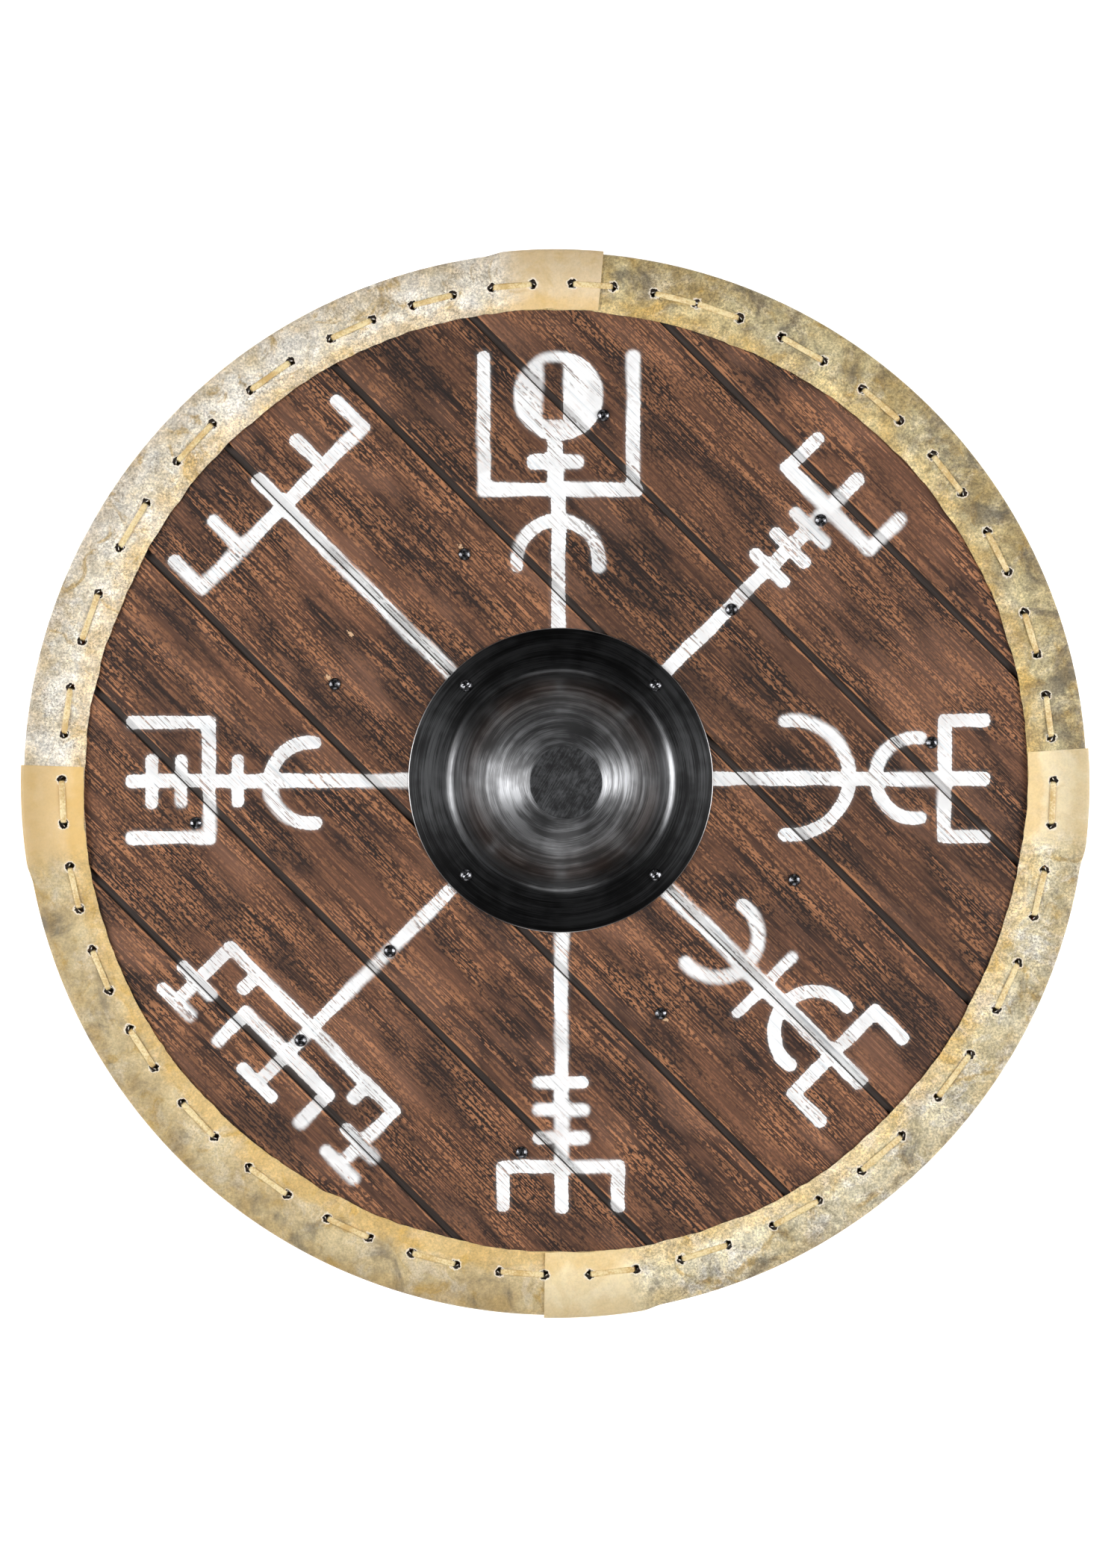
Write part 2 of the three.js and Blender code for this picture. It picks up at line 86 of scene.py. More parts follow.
@dataclass(frozen=True)
class Disc:
    """The disc of boards: where its middle is, its radius and its two faces."""

    x: float
    y: float
    radius: float
    back: float
    face: float

    @property
    def middle(self) -> float:
        """Height halfway between the two faces."""
        return (self.back + self.face) / 2

    @property
    def along(self) -> float:
        """How far along the boards the disc's middle is."""
        return self.x * ALONG[0] + self.y * ALONG[1]

    @property
    def across(self) -> float:
        """How far across the boards the disc's middle is."""
        return self.x * ACROSS[0] + self.y * ACROSS[1]

    @classmethod
    def from_frame(cls, boards: Sequence[str]) -> "Disc":
        """Reads the disc from the boards' solids."""
        low, high = joined_box(boards)
        centre = (low + high) / 2
        return cls(centre[0], centre[1], (high[0] - low[0]) / 2, low[2], high[2])

    def place(self, degrees: Array, radius: Array) -> tuple[Array, Array]:
        """Turns clockwise angles from the top and distances from the middle into x and y."""
        turn = np.radians(degrees)
        return self.x + radius * np.sin(turn), self.y + radius * np.cos(turn)


BOARDS = [f"board_{n}" for n in range(1, 9)]
DISC = Disc.from_frame(BOARDS)


def on_boards(along: Array, across: Array) -> tuple[Array, Array]:
    """Turns distances along and across the boards into x and y."""
    return along * ALONG[0] + across * ACROSS[0], along * ALONG[1] + across * ACROSS[1]


# ---------------------------------------------------------------- shape helpers


class Ripple:
    """Smooth, seeded unevenness over a plane, between -1 and 1."""

    SIZE = 128

    def __init__(self, seed: int) -> None:
        """Draws the heights of the lattice.

        Args:
            seed: The same seed gives the same surface.
        """
        self.heights = np.random.default_rng(seed).uniform(-1, 1, (self.SIZE, self.SIZE))

    def at(self, a: Array, b: Array) -> Array:
        """Height at two coordinates counted in lattice steps."""
        a, b = np.broadcast_arrays(np.asarray(a, float), np.asarray(b, float))
        a0, b0 = np.floor(a).astype(int), np.floor(b).astype(int)
        s, t = a - a0, b - b0
        s, t = s * s * (3 - 2 * s), t * t * (3 - 2 * t)
        h = self.heights
        a1, b1 = (a0 + 1) % self.SIZE, (b0 + 1) % self.SIZE
        a0, b0 = a0 % self.SIZE, b0 % self.SIZE
        near = h[a0, b0] * (1 - t) + h[a0, b1] * t
        far = h[a1, b0] * (1 - t) + h[a1, b1] * t
        return near * (1 - s) + far * s

    def layered(self, a: Array, b: Array, layers: int = 3) -> Array:
        """The same with finer layers of half the height each."""
        return sum(self.at(a * 2**n + 17.3 * n, b * 2**n + 5.1 * n) / 2**n for n in range(layers))


def smooth_step(low: float, high: float, value: Array) -> Array:
    """Rises smoothly from 0 at low to 1 at high."""
    t = np.clip((value - low) / (high - low), 0, 1)
    return t * t * (3 - 2 * t)


def waves(rows: Waves, degrees: Array) -> Array:
    """Sum of slow waves round the shield.

    Args:
        rows: Waves per turn, height and phase in degrees, for each wave.
        degrees: Clockwise angles from the top.
    """
    return sum(height * np.cos(np.radians(n * degrees - phase)) for n, height, phase in rows)


def grid_faces(rows: int, columns: int) -> Array:
    """Quads between neighbouring closed rings of a sweep.

    Args:
        rows: Number of rings.
        columns: Points in each ring.

    Returns:
        One row of four point numbers for each quad.
    """
    first = np.arange(rows - 1)[:, None] * columns
    here = np.arange(columns)[None, :]
    there = (here + 1) % columns
    quads = np.stack([first + here, first + there, first + there + columns, first + here + columns], -1)
    return quads.reshape(-1, 4)


def swept_mesh(name: str, rings: Array) -> bpy.types.Mesh:
    """A closed mesh through rings of points, with a flat face on each end.

    Args:
        name: Name of the mesh.
        rings: Points in millimetres, shaped (rings, points in a ring, 3).
    """
    count, size, _ = rings.shape
    faces = [tuple(quad) for quad in grid_faces(count, size).tolist()]
    faces.append(tuple(range(size - 1, -1, -1)))
    faces.append(tuple(range((count - 1) * size, count * size)))
    mesh = bpy.data.meshes.new(f"dressed_{name}")
    mesh.from_pydata((rings.reshape(-1, 3) * MM).tolist(), [], faces)
    face_outwards(mesh)
    return mesh


def signed_volume(mesh: bpy.types.Mesh) -> float:
    """Volume of a closed mesh, negative when its faces point in."""
    points = vertex_positions(mesh)
    mesh.calc_loop_triangles()
    corners = np.empty(len(mesh.loop_triangles) * 3, dtype=np.int32)
    mesh.loop_triangles.foreach_get("vertices", corners)
    a, b, c = points[corners.reshape(-1, 3)].transpose(1, 0, 2)
    return float(np.einsum("ij,ij->", a, np.cross(b, c)))


def face_outwards(mesh: bpy.types.Mesh) -> None:
    """Flips a closed mesh whose faces point in."""
    if signed_volume(mesh) < 0:
        mesh.flip_normals()


def vertex_positions(mesh: bpy.types.Mesh) -> Array:
    """The mesh's points, in its own unit."""
    flat = np.empty(len(mesh.vertices) * 3)
    mesh.vertices.foreach_get("co", flat)
    return flat.reshape(-1, 3)


def set_attribute(mesh: bpy.types.Mesh, name: str, values: Array) -> None:
    """Stores one number on each point, for a material to read."""
    made = mesh.attributes.new(name, "FLOAT", "POINT")
    made.data.foreach_set("value", np.asarray(values, np.float32))


def link(mesh: bpy.types.Mesh) -> bpy.types.Object:
    """Puts a mesh in the scene as an object of the same name."""
    piece = bpy.data.objects.new(mesh.name, mesh)
    bpy.context.scene.collection.objects.link(piece)
    return piece


def pegs_mesh(name: str, places: Sequence[tuple[float, float]], radius: float,
              low: float, high: float, steps: int) -> bpy.types.Mesh:
    """Upright pegs side by side in one mesh, to drill holes with.

    Args:
        name: Name of the mesh.
        places: x and y of each peg, in millimetres.
        radius: Radius of the pegs.
        low: Height of their lower ends.
        high: Height of their upper ends.
        steps: Sides of each peg.
    """
    turn = np.arange(steps) * 2 * HALF_TURN / steps
    points: list[list[float]] = []
    faces: list[tuple[int, ...]] = []
    for x, y in places:
        start = len(points)
        for z in (low, high):
            points += [[x + radius * math.cos(a), y + radius * math.sin(a), z] for a in turn]
        ring = range(steps)
        faces.append(tuple(start + n for n in reversed(ring)))
        faces.append(tuple(start + steps + n for n in ring))
        faces += [
            (start + n, start + (n + 1) % steps, start + steps + (n + 1) % steps, start + steps + n)
            for n in ring
        ]
    mesh = bpy.data.meshes.new(name)
    mesh.from_pydata((np.array(points) * MM).tolist(), [], faces)
    return mesh


def drilled(piece: bpy.types.Object, tool: bpy.types.Mesh) -> bpy.types.Object:
    """Cuts a closed tool mesh out of a piece for good.

    Args:
        piece: The object to cut.
        tool: The mesh to take away; it is deleted afterwards.
    """
    cutter = link(tool)
    modifier = piece.modifiers.new("drill", "BOOLEAN")
    modifier.operation = "DIFFERENCE"
    modifier.solver = "MANIFOLD"
    modifier.object = cutter
    graph = bpy.context.evaluated_depsgraph_get()
    cut = bpy.data.meshes.new_from_object(piece.evaluated_get(graph))
    old = piece.data
    name = old.name
    piece.modifiers.clear()
    piece.data = cut
    bpy.data.meshes.remove(old)
    cut.name = name
    bpy.data.objects.remove(cutter)
    bpy.data.meshes.remove(tool)
    return piece


def soften(mesh: bpy.types.Mesh, degrees: float) -> None:
    """Shades a mesh smoothly, with a crease wherever two faces meet at more than an angle."""
    mesh.shade_smooth()
    mesh.set_sharp_from_angle(angle=math.radians(degrees))


def dress(piece: bpy.types.Object, node: str, material: bpy.types.Material) -> None:
    """Gives a piece its material, hides the CAD node it replaces and hangs it under the root body.

    Args:
        piece: The finished piece.
        node: The CAD node it replaces.
        material: Its material.
    """
    piece.data.materials.clear()
    piece.data.materials.append(material)
    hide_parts(node)
    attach(piece, ROOT)
    log.info("%-22s %7d points", piece.name, len(piece.data.vertices))


# ---------------------------------------------------------------- material helpers


def linear(colour: str) -> tuple[float, float, float, float]:
    """Turns an sRGB hex colour into the linear colour that shaders use."""
    parts = [int(colour[n : n + 2], 16) / 255 for n in (1, 3, 5)]
    light = [c / 12.92 if c <= 0.04045 else ((c + 0.055) / 1.055) ** 2.4 for c in parts]
    return light[0], light[1], light[2], 1.0


Socket = bpy.types.NodeSocket
COLOURS = {"data_type": "RGBA"}
SHADED = {"data_type": "RGBA", "blend_type": "MULTIPLY"}
SMOOTH = {"interpolation_type": "SMOOTHSTEP"}
TIMES = {"operation": "MULTIPLY"}
PLUS = {"operation": "ADD"}
MOST = {"operation": "MAXIMUM"}
# A Mix node's sockets for colours go by number: its share, the colour below, the one above, the result.
SHARE, BELOW, ABOVE, MIXED = 0, 6, 7, 2


class Paintbox:
    """One material in the making: its tree, its shader and the coordinates it is drawn in."""

    def __init__(self, name: str) -> None:
        """Starts a material with a bare Principled shader.

        Args:
            name: Name of the material.
        """
        self.material = bpy.data.materials.new(name)
        self.material.use_nodes = True
        self.tree = self.material.node_tree
        self.tree.nodes.clear()
        self.shader = self.tree.nodes.new("ShaderNodeBsdfPrincipled")
        self.add("OutputMaterial", {"Surface": self.shader.outputs[0]}, None)

    def add(self, kind: str, inputs: dict[Any, Any] | list[Any], output: Any = 0, **settings: Any) -> Any:
        """Adds one node with its settings, values and links.

        Args:
            kind: The node's type, without its ShaderNode prefix.
            inputs: Values, or the outputs that feed them, in order or by the input's name or number.
            output: Name or number of the output wanted.
            settings: The node's own properties.

        Returns:
            That output, or nothing if output is None.
        """
        node = self.tree.nodes.new("ShaderNode" + kind)
        for name, value in settings.items():
            setattr(node, name, value)
        for key, value in dict(enumerate(inputs) if isinstance(inputs, list) else inputs).items():
            self.feed(node.inputs[key], value)
        return None if output is None else node.outputs[output]

    def feed(self, socket: Socket, value: Any) -> None:
        """Links an output to a socket, or sets its value; a string is an sRGB hex colour."""
        if isinstance(value, Socket):
            self.tree.links.new(value, socket)
        else:
            socket.default_value = linear(value) if isinstance(value, str) else value

    def millimetres(self, degrees: float = 0) -> Socket:
        """The piece's own coordinates in millimetres, turned about Z."""
        raw = self.add("TexCoord", {}, "Object")
        turn = (0, 0, math.radians(degrees))
        return self.add("Mapping", {"Vector": raw, "Rotation": turn, "Scale": (1 / MM,) * 3})

    def clouds(self, place: Socket, patch: tuple[float, float, float], detail: float = 2,
               rough: float = 0.5, stir: float = 0) -> Socket:
        """Cloudy unevenness whose patches have a real size.

        Args:
            place: Coordinates in millimetres.
            patch: Size of a patch along each coordinate, in millimetres.
            detail: How many finer layers lie over it.
            rough: How strong those are.
            stir: How far it is stirred, in patches.

        Returns:
            A number from 0 to 1, mostly near 0.5.
        """
        counted = self.add("VectorMath", [place, tuple(1 / size for size in patch)], **TIMES)
        look = {"Scale": 1.0, "Detail": detail, "Roughness": rough, "Distortion": stir}
        return self.add("TexNoise", {"Vector": counted, **look})

    def patches(self, place: Socket, patch: tuple[float, float, float], levels: tuple[float, ...],
                **look: float) -> Socket:
        """Clouds of a real size, made into soft-edged patches.

        Args:
            place: Coordinates in millimetres.
            patch: Size of a patch along each coordinate, in millimetres.
            levels: Where patches begin and where they are full, then both results if not 0 and 1.
            look: Other settings of the clouds.

        Returns:
            A number that goes from the first result to the second.
        """
        return self.add("MapRange", [self.clouds(place, patch, **look), *levels], **SMOOTH)

    def relief(self, height: Socket, depth: float) -> None:
        """Bumps the surface by a pattern, with its depth in millimetres."""
        bump = self.add("Bump", {"Height": height, "Distance": depth * MM, "Strength": 1.0})
        self.tree.links.new(bump, self.shader.inputs["Normal"])

    def finish(self, **sockets: Any) -> bpy.types.Material:
        """Fills the shader's sockets and hands over the material.

        Args:
            sockets: Names of sockets, with _ for a space, to values or outputs.
        """
        for name, value in sockets.items():
            self.feed(self.shader.inputs[name.replace("_", " ")], value)
        return self.material


# ---------------------------------------------------------------- finishes


@dataclass(frozen=True)
class StencilledBoards:
    """Softwood boards, brushed open along the grain and stained dark, with matt white spray paint.

    The brushing leaves raised ridges a millimetre or so apart. The stain sinks in between them
    and rubs off their crests, so the boards show orange dashes on near-black brown.
    """

    name: str = "brushed_stained_pine_with_sprayed_stencil"
    deep_stain: str = "#1e1514"
    stain: str = "#60402f"
    pale_stain: str = "#7c5845"
    bare_crest: str = "#b98058"
    bare_wood: str = "#d0ab86"
    channel_stain: str = "#4d433e"
    paint: str = "#f6f6f6"
    thin_paint: str = "#dce0e3"

    # Painted shade: how far across from each joint the dark hairline along the channel wall lies.
    wall_shade_offset: float = -2.1
    thirsty_board: float = 1.2
    timber_shift: tuple[float, float, float] = (317.0, 71.0, 23.0)
    knocks: tuple[tuple[float, float, float], ...] = (
        (-167.0, -64.5, 1.5), (-178.0, -31.6, 1.4), (-166.5, 66.5, 1.1), (171.0, -67.0, 1.4))

    def wood(self, box: Paintbox, place: Socket, grain: Socket, number: Socket) -> Socket:
        """Colour of the stained wood.

        Args:
            box: The material in the making.
            place: Millimetres along and across the boards.
            grain: The fine ridges of the grain.
            number: The board's number, counted from the middle.

        Returns:
            The colour.
        """
        stain = box.patches(place, (100, 26, 60), (0.42, 0.59, 0.08, 1.0), detail=4, rough=0.6)
        zone = box.patches(place, (70, 20, 60), (0.4, 0.58), detail=3, rough=0.6)
        # Where the brush bit deepest, the hollows hold the most stain and the crests the least.
        spared = box.add("MapRange", [zone, 0.0, 1.0, 1.0, 0.55])
        stain = box.add("Math", [stain, spared], **TIMES)
        colour = box.add("Mix", {SHARE: stain, BELOW: self.deep_stain, ABOVE: self.stain}, MIXED, **COLOURS)
        # Lighter, smoother patches of paler brown lie here and there over the stain.
        pale_patches = box.patches(place, (90, 36, 60), (0.52, 0.68), detail=2)
        pale_patches = box.add("Math", [pale_patches, 0.6], **TIMES)
        rubbed = self.dashes(box, place, (0.4, 0.6), 3.2)
        zone = box.add("MapRange", [zone, 0.0, 1.0, 0.3, 1.0])
        for share in (zone, 0.78):
            rubbed = box.add("Math", [rubbed, share], **TIMES)
        for share, coat in ((pale_patches, self.pale_stain), (rubbed, self.bare_crest)):
            colour = box.add("Mix", {SHARE: share, BELOW: colour, ABOVE: coat}, MIXED, **COLOURS)
        shade = box.add("MapRange", [grain, 0.34, 0.64, 0.72, 1.22])
        shade = box.add("Math", [shade, self.thirst(box, number)], **TIMES)
        return box.add("Mix", {SHARE: 1.0, BELOW: colour, ABOVE: shade}, MIXED, **SHADED)

    def dashes(self, box: Paintbox, place: Socket, open_from: tuple[float, float], length: float) -> Socket:
        """Short dashes, each lying exactly on a ridge of the grain.

        The ridges are half a millimetre wide and are drawn twice that, so that they show.

        Args:
            box: The material in the making.
            place: Millimetres along and across the boards.
            open_from: Where the dashes begin and where they are full, the lower the more.
            length: Length of a dash, in millimetres.

        Returns:
            A number from 0 to 1.
        """
        ridges = box.patches(place, (50, 1.05, 40), open_from, detail=1)
        broken = box.patches(place, (length, 1.4, 40), (0.38, 0.54), detail=1)
        return box.add("Math", [ridges, broken], **TIMES)

    def thirst(self, box: Paintbox, number: Socket) -> Socket:
        """How dark each board came out: the one beyond the middle drank far more of the stain."""
        apart = box.add("Math", [number, self.thirsty_board], operation="SUBTRACT")
        apart = box.add("Math", [apart], operation="ABSOLUTE")
        return box.add("MapRange", [apart, 0.2, 1.3, 0.78, 1.04])

    def nicks(self, box: Paintbox, raw: Socket) -> Socket:
        """Places where a slipped driver or a knock chipped the stained skin off the wood."""
        chipped = 0.0
        for along, across, size in self.knocks:
            off = box.add("VectorMath", [raw, (along, across, DISC.face)], operation="SUBTRACT")
            off = box.add("VectorMath", [off, (0.5, 1.0, 0.0)], **TIMES)
            off = box.add("VectorMath", [off], "Value", operation="LENGTH")
            ragged = box.add("MapRange", [box.clouds(raw, (2.2, 1.4, 2), detail=2), 0.3, 0.7, -0.9, 0.9])
            off = box.add("Math", [off, ragged], **PLUS)
            chip = box.add("MapRange", [off, size, size - 0.3], **SMOOTH)
            chipped = box.add("Math", [chip, chipped], **MOST)
        return chipped

    def make(self) -> bpy.types.Material:
        """Builds the material, which reads the distance to the painted figure off the mesh."""
        box = Paintbox(self.name)
        raw = box.millimetres(BOARDS_TURN)
        across = box.add("SeparateXYZ", [raw], "Y")
        height = box.add("SeparateXYZ", [raw], "Z")
        # Each board is a different piece of timber, so its grain is taken from another place.
        number = box.add("Math", [across, Boards.cover], operation="DIVIDE")
        number = box.add("Math", [number], operation="FLOOR")
        shift = box.add("VectorMath", {0: self.timber_shift, "Scale": number}, operation="SCALE")
        place = box.add("VectorMath", [raw, shift], **PLUS)
        grain = box.clouds(place, (55, 1.7, 40), detail=3, rough=0.6)
        colour = self.wood(box, place, grain, number)
        # The arrises of every channel are rubbed through in a line about a millimetre wide.
        off_joint = box.add("Math", [across, Boards.cover / 2], operation="PINGPONG")
        drift = box.clouds(place, (24, 9, 20), detail=4, rough=0.65)
        drift = box.add("MapRange", [drift, 0.36, 0.64, 1.4, -1.0])
        drift = box.add("Math", [off_joint, drift], **PLUS)
        arris = box.add("MapRange", [drift, 3.9, 3.3], **SMOOTH)
        arris = box.add("Math", [arris, 0.75], **TIMES)
        # The front is all that lies above the channel floors: the back has no paint or channel stain.
        front = box.add("MapRange", [height, DISC.face - 5.0, DISC.face - 4.4])
        sunk = box.add("MapRange", [height, DISC.face - 0.9, DISC.face - 2.2], **SMOOTH)
        sunk = box.add("Math", [sunk, front], **TIMES)
        dull = box.add("MapRange", [grain, 0.4, 0.75, 0.0, 0.7])
        channel = {SHARE: dull, BELOW: self.channel_stain, ABOVE: self.deep_stain}
        channel = box.add("Mix", channel, MIXED, **COLOURS)
        nicks = self.nicks(box, raw)
        for share, coat in ((arris, self.bare_crest), (nicks, self.bare_wood), (sunk, channel)):
            colour = box.add("Mix", {SHARE: share, BELOW: colour, ABOVE: coat}, MIXED, **COLOURS)
        # Two boards meet in each channel. Painted shade: a dark hairline runs along its lower wall, where the
        # wall meets the channel floor.
        aside = box.add("Math", [across, Boards.cover / 2, -Boards.cover / 2], operation="WRAP")
        aside = box.add("Math", [aside, self.wall_shade_offset], operation="SUBTRACT")
        aside = box.add("Math", [aside], operation="ABSOLUTE")
        wall_shade = box.add("MapRange", [aside, 0.62, 0.3], **SMOOTH)
        wall_shade = box.add("Math", [wall_shade, sunk], **TIMES)
        # The stencil lifted in places, so the spray's edge is crisp here and soft there.
        away = box.add("Attribute", {}, "Fac", attribute_name=Figure.ATTRIBUTE)
        lift = box.patches(raw, (55, 55, 55), (0.47, 0.68, 0.28, 2.2), detail=1)
        fringe = box.add("MapRange", [box.clouds(raw, (5, 1.6, 5), detail=2), 0.3, 0.7, -0.35, 0.35])
        away_rough = box.add("Math", [away, fringe], **PLUS)
        inward = box.add("Math", [lift, -1.0], **TIMES)
        mask = box.add("MapRange", [away_rough, lift, inward], **SMOOTH)
        # Rubbing follows the grain: thin dark slits open in the paint.
        slits = self.dashes(box, place, (0.5, 0.66), 4.5)
        tired = box.patches(raw, (60, 36, 36), (0.36, 0.56, 0.12, 1.0), detail=3)
        slits = box.add("Math", [slits, tired], **TIMES)
        thin = box.patches(raw, (34, 34, 34), (0.36, 0.54, 0.84, 1.0), detail=3)
        # Slits, the channels and the hairline of painted shade take paint away.
        for lost, kept in ((slits, 0.2), (sunk, 0.95), (wall_shade, 0.15)):
            left = box.add("MapRange", [lost, 0.0, 1.0, 1.0, kept])
            mask = box.add("Math", [mask, left], **TIMES)
        mask = box.add("Math", [mask, thin], **TIMES)
        dust = box.add("MapRange", [away, 3.0, 0.0, 0.0, 0.05], **SMOOTH)
        mask = box.add("Math", [mask, dust], **MOST)
        mask = box.add("Math", [mask, front], **TIMES)
        streaky = box.add("MapRange", [grain, 0.3, 0.45], **SMOOTH)
        paint = box.add("Mix", {SHARE: streaky, BELOW: self.thin_paint, ABOVE: self.paint}, MIXED, **COLOURS)
        colour = box.add("Mix", {SHARE: mask, BELOW: colour, ABOVE: paint}, MIXED, **COLOURS)
        # Painted shade: the hairline darkens the colour to 0.3.
        wall_shade_dim = box.add("MapRange", [wall_shade, 0.0, 1.0, 1.0, 0.3])
        colour = box.add("Mix", {SHARE: 1.0, BELOW: colour, ABOVE: wall_shade_dim}, MIXED, **SHADED)
        gloss = box.add("MapRange", [mask, 0.0, 1.0, 0.62, 0.7])
        ridges = box.add("Math", [grain, mask], **PLUS)
        box.relief(ridges, 0.05)
        return box.finish(Base_Color=colour, Roughness=gloss, IOR=1.5, Specular_IOR_Level=0.32)


@dataclass(frozen=True)
class BattenWood:
    """Pine battens, planed and rubbed with the same stain: plain grain, low sheen."""

    name: str = "planed_stained_pine"
    stain: str = "#3d2c25"
    crest: str = "#6d4c39"

    def make(self) -> bpy.types.Material:
        """Builds the material, with its grain along the battens."""
        box = Paintbox(self.name)
        place = box.millimetres(BOARDS_TURN)
        # Battens lie across the boards, so the long way of the grain is the second coordinate.
        rings = box.clouds(place, (6, 160, 14), detail=3, rough=0.55, stir=0.5)
        fine = box.clouds(place, (0.9, 22, 1.6), detail=2, rough=0.6)
        mixed = box.add("Math", [rings, fine], **TIMES)
        mixed = box.add("MapRange", [mixed, 0.14, 0.4], **SMOOTH)
        colour = box.add("Mix", {SHARE: mixed, BELOW: self.stain, ABOVE: self.crest}, MIXED, **COLOURS)
        gloss = box.add("MapRange", [fine, 0.3, 0.7, 0.5, 0.66])
        box.relief(fine, 0.08)
        return box.finish(Base_Color=colour, Roughness=gloss, IOR=1.5)


@dataclass(frozen=True)
class Rawhide:
    """Limed cowhide, folded on wet and dried hard: waxy, slightly see-through and never one colour.

    Fat and smoke leave golden and grey clouds, and the old hair side a fine dark speckle.
    """

    name: str
    fair: str = "#e9dfc4"
    tan: str = "#cdb383"
    golden: str = "#bd9a4e"
    smoke: str = "#625c51"
    chalk: str = "#f8f2e6"
    limed: float = 0.25
    amber: str = "#d3ab5c"
    ambered: float = 0.5
    plain: str = "#e6cfa2"
    rim_of_hole: str = "#efe4d2"
    # Painted shade inside the lace holes.
    hole_shade: str = "#1d120b"
    pore: str = "#6b5a43"
    smoky: float = 0.5
    coarse: float = 1.0
    seed: float = 0.0

    def make(self) -> bpy.types.Material:
        """Builds the material, which reads its distance to holes and laps off the mesh."""
        box = Paintbox(self.name)
        raw = box.millimetres()
        place = box.add("VectorMath", [raw, (self.seed, 2 * self.seed, 0.0)], **PLUS)
        broad = box.patches(place, (38, 38, 38), (0.34, 0.64), detail=4, rough=0.6, stir=0.5)
        colour = box.add("Mix", {SHARE: broad, BELOW: self.tan, ABOVE: self.fair}, MIXED, **COLOURS)
        chalk = box.patches(place, (20, 20, 20), (0.48, 0.66, 0.0, self.limed),
                            detail=5, rough=0.72, stir=0.6)
        gold = box.patches(place, (26, 26, 26), (0.53, 0.68, 0.0, 0.75), detail=4, rough=0.65, stir=1.2)
        smoke = box.patches(place, (44, 44, 44), (0.66 - 0.2 * self.smoky, 0.8 - 0.16 * self.smoky),
                            detail=5, rough=0.68, stir=0.8)
        # Smoke settles towards the outside of the fold, and hardly on the flat scraped laps.
        spread = box.add("Attribute", {}, "Fac", attribute_name=RimStrip.OUTWARD)
        outward = box.add("MapRange", [spread, 0.0, 1.0, 0.35, 1.0])
        lapped = box.add("Attribute", {}, "Fac", attribute_name=RimStrip.LAPPED)
        spared = box.add("MapRange", [lapped, 0.0, 1.0, 1.0, 0.15])
        for share in (outward, 0.85, spared):
            smoke = box.add("Math", [smoke, share], **TIMES)
        lapped = box.add("Math", [lapped, 0.8], **TIMES)
        # Both edges of a strip dried first, and went amber.
        patchy = box.clouds(place, (16, 16, 16), detail=3)
        patchy = box.add("MapRange", [patchy, 0.35, 0.65, -0.14, 0.1])
        spread = box.add("Math", [spread, patchy], **PLUS)
        inner = box.add("MapRange", [spread, 0.3, 0.02], **SMOOTH)
        outer = box.add("MapRange", [spread, 0.8, 1.05, 0.0, 0.6], **SMOOTH)
        amber = box.add("Math", [inner, outer], **MOST)
        amber = box.add("Math", [amber, self.ambered], **TIMES)
        coats = ((chalk, self.chalk), (gold, self.golden), (smoke, self.smoke),
                 (lapped, self.plain), (amber, self.amber))
        for share, coat in coats:
            colour = box.add("Mix", {SHARE: share, BELOW: colour, ABOVE: coat}, MIXED, **COLOURS)
        # Grain about 1.7 mm across, with darker pores.
        grain = box.clouds(place, (1.7, 1.7, 1.7), detail=3, rough=0.75)
        shade = box.add("MapRange", [grain, 0.37, 0.6, 0.6, 1.14])
        roughness = box.add("Math", [spared, self.coarse], **TIMES)
        creased = box.clouds(place, (7, 7, 7), detail=5, rough=0.72, stir=0.4)
        creased = box.add("MapRange", [creased, 0.36, 0.62, 0.7, 1.24])
        for dark in (shade, creased):
            colour = box.add("Mix", {SHARE: roughness, BELOW: colour, ABOVE: dark}, MIXED, **SHADED)
        pored = box.patches(place, (20, 20, 20), (0.4, 0.58), detail=3, rough=0.6)
        pores = box.patches(place, (1.5, 1.5, 1.5), (0.53, 0.63), detail=2, rough=0.7)
        for share in (pored, roughness, 0.55):
            pores = box.add("Math", [pores, share], **TIMES)
        colour = box.add("Mix", {SHARE: pores, BELOW: colour, ABOVE: self.pore}, MIXED, **COLOURS)
        # Darker towards the outer edge of the fold, a little lighter towards its inner edge.
        darker_outward = box.add("MapRange", [outward, 0.4, 1.0, 1.1, 0.78])
        colour = box.add("Mix", {SHARE: 1.0, BELOW: colour, ABOVE: darker_outward}, MIXED, **SHADED)
        hole = box.add("Attribute", {}, "Fac", attribute_name=RimStrip.TO_HOLE)
        torn = box.add("MapRange", [box.clouds(place, (2.5, 2.5, 2.5), detail=2), 0.35, 0.65, -0.6, 0.6])
        hole = box.add("Math", [hole, torn], **PLUS)
        lip = box.add("MapRange", [hole, 4.5, 3.9], **SMOOTH)
        lip = box.add("Math", [lip, 0.8], **TIMES)
        # Painted shade: the walls of each hole are painted near-black, as the dark inside it, and made matt.
        hole_shade_mask = box.add("MapRange", [hole, HoleRing.drill + 0.7, HoleRing.drill + 0.3], **SMOOTH)
        for share, coat in ((lip, self.rim_of_hole), (hole_shade_mask, self.hole_shade)):
            colour = box.add("Mix", {SHARE: share, BELOW: colour, ABOVE: coat}, MIXED, **COLOURS)
        gloss = box.add("MapRange", [grain, 0.3, 0.7, 0.4, 0.58])
        gloss = box.add("Math", [gloss, hole_shade_mask], **MOST)
        raised = box.add("Math", [grain, roughness], **TIMES)
        box.relief(raised, 0.25)
        return box.finish(Base_Color=colour, Roughness=gloss, IOR=1.5, Subsurface_Weight=0.12,
                          Subsurface_Radius=(1.0, 0.6, 0.3), Subsurface_Scale=0.0016)


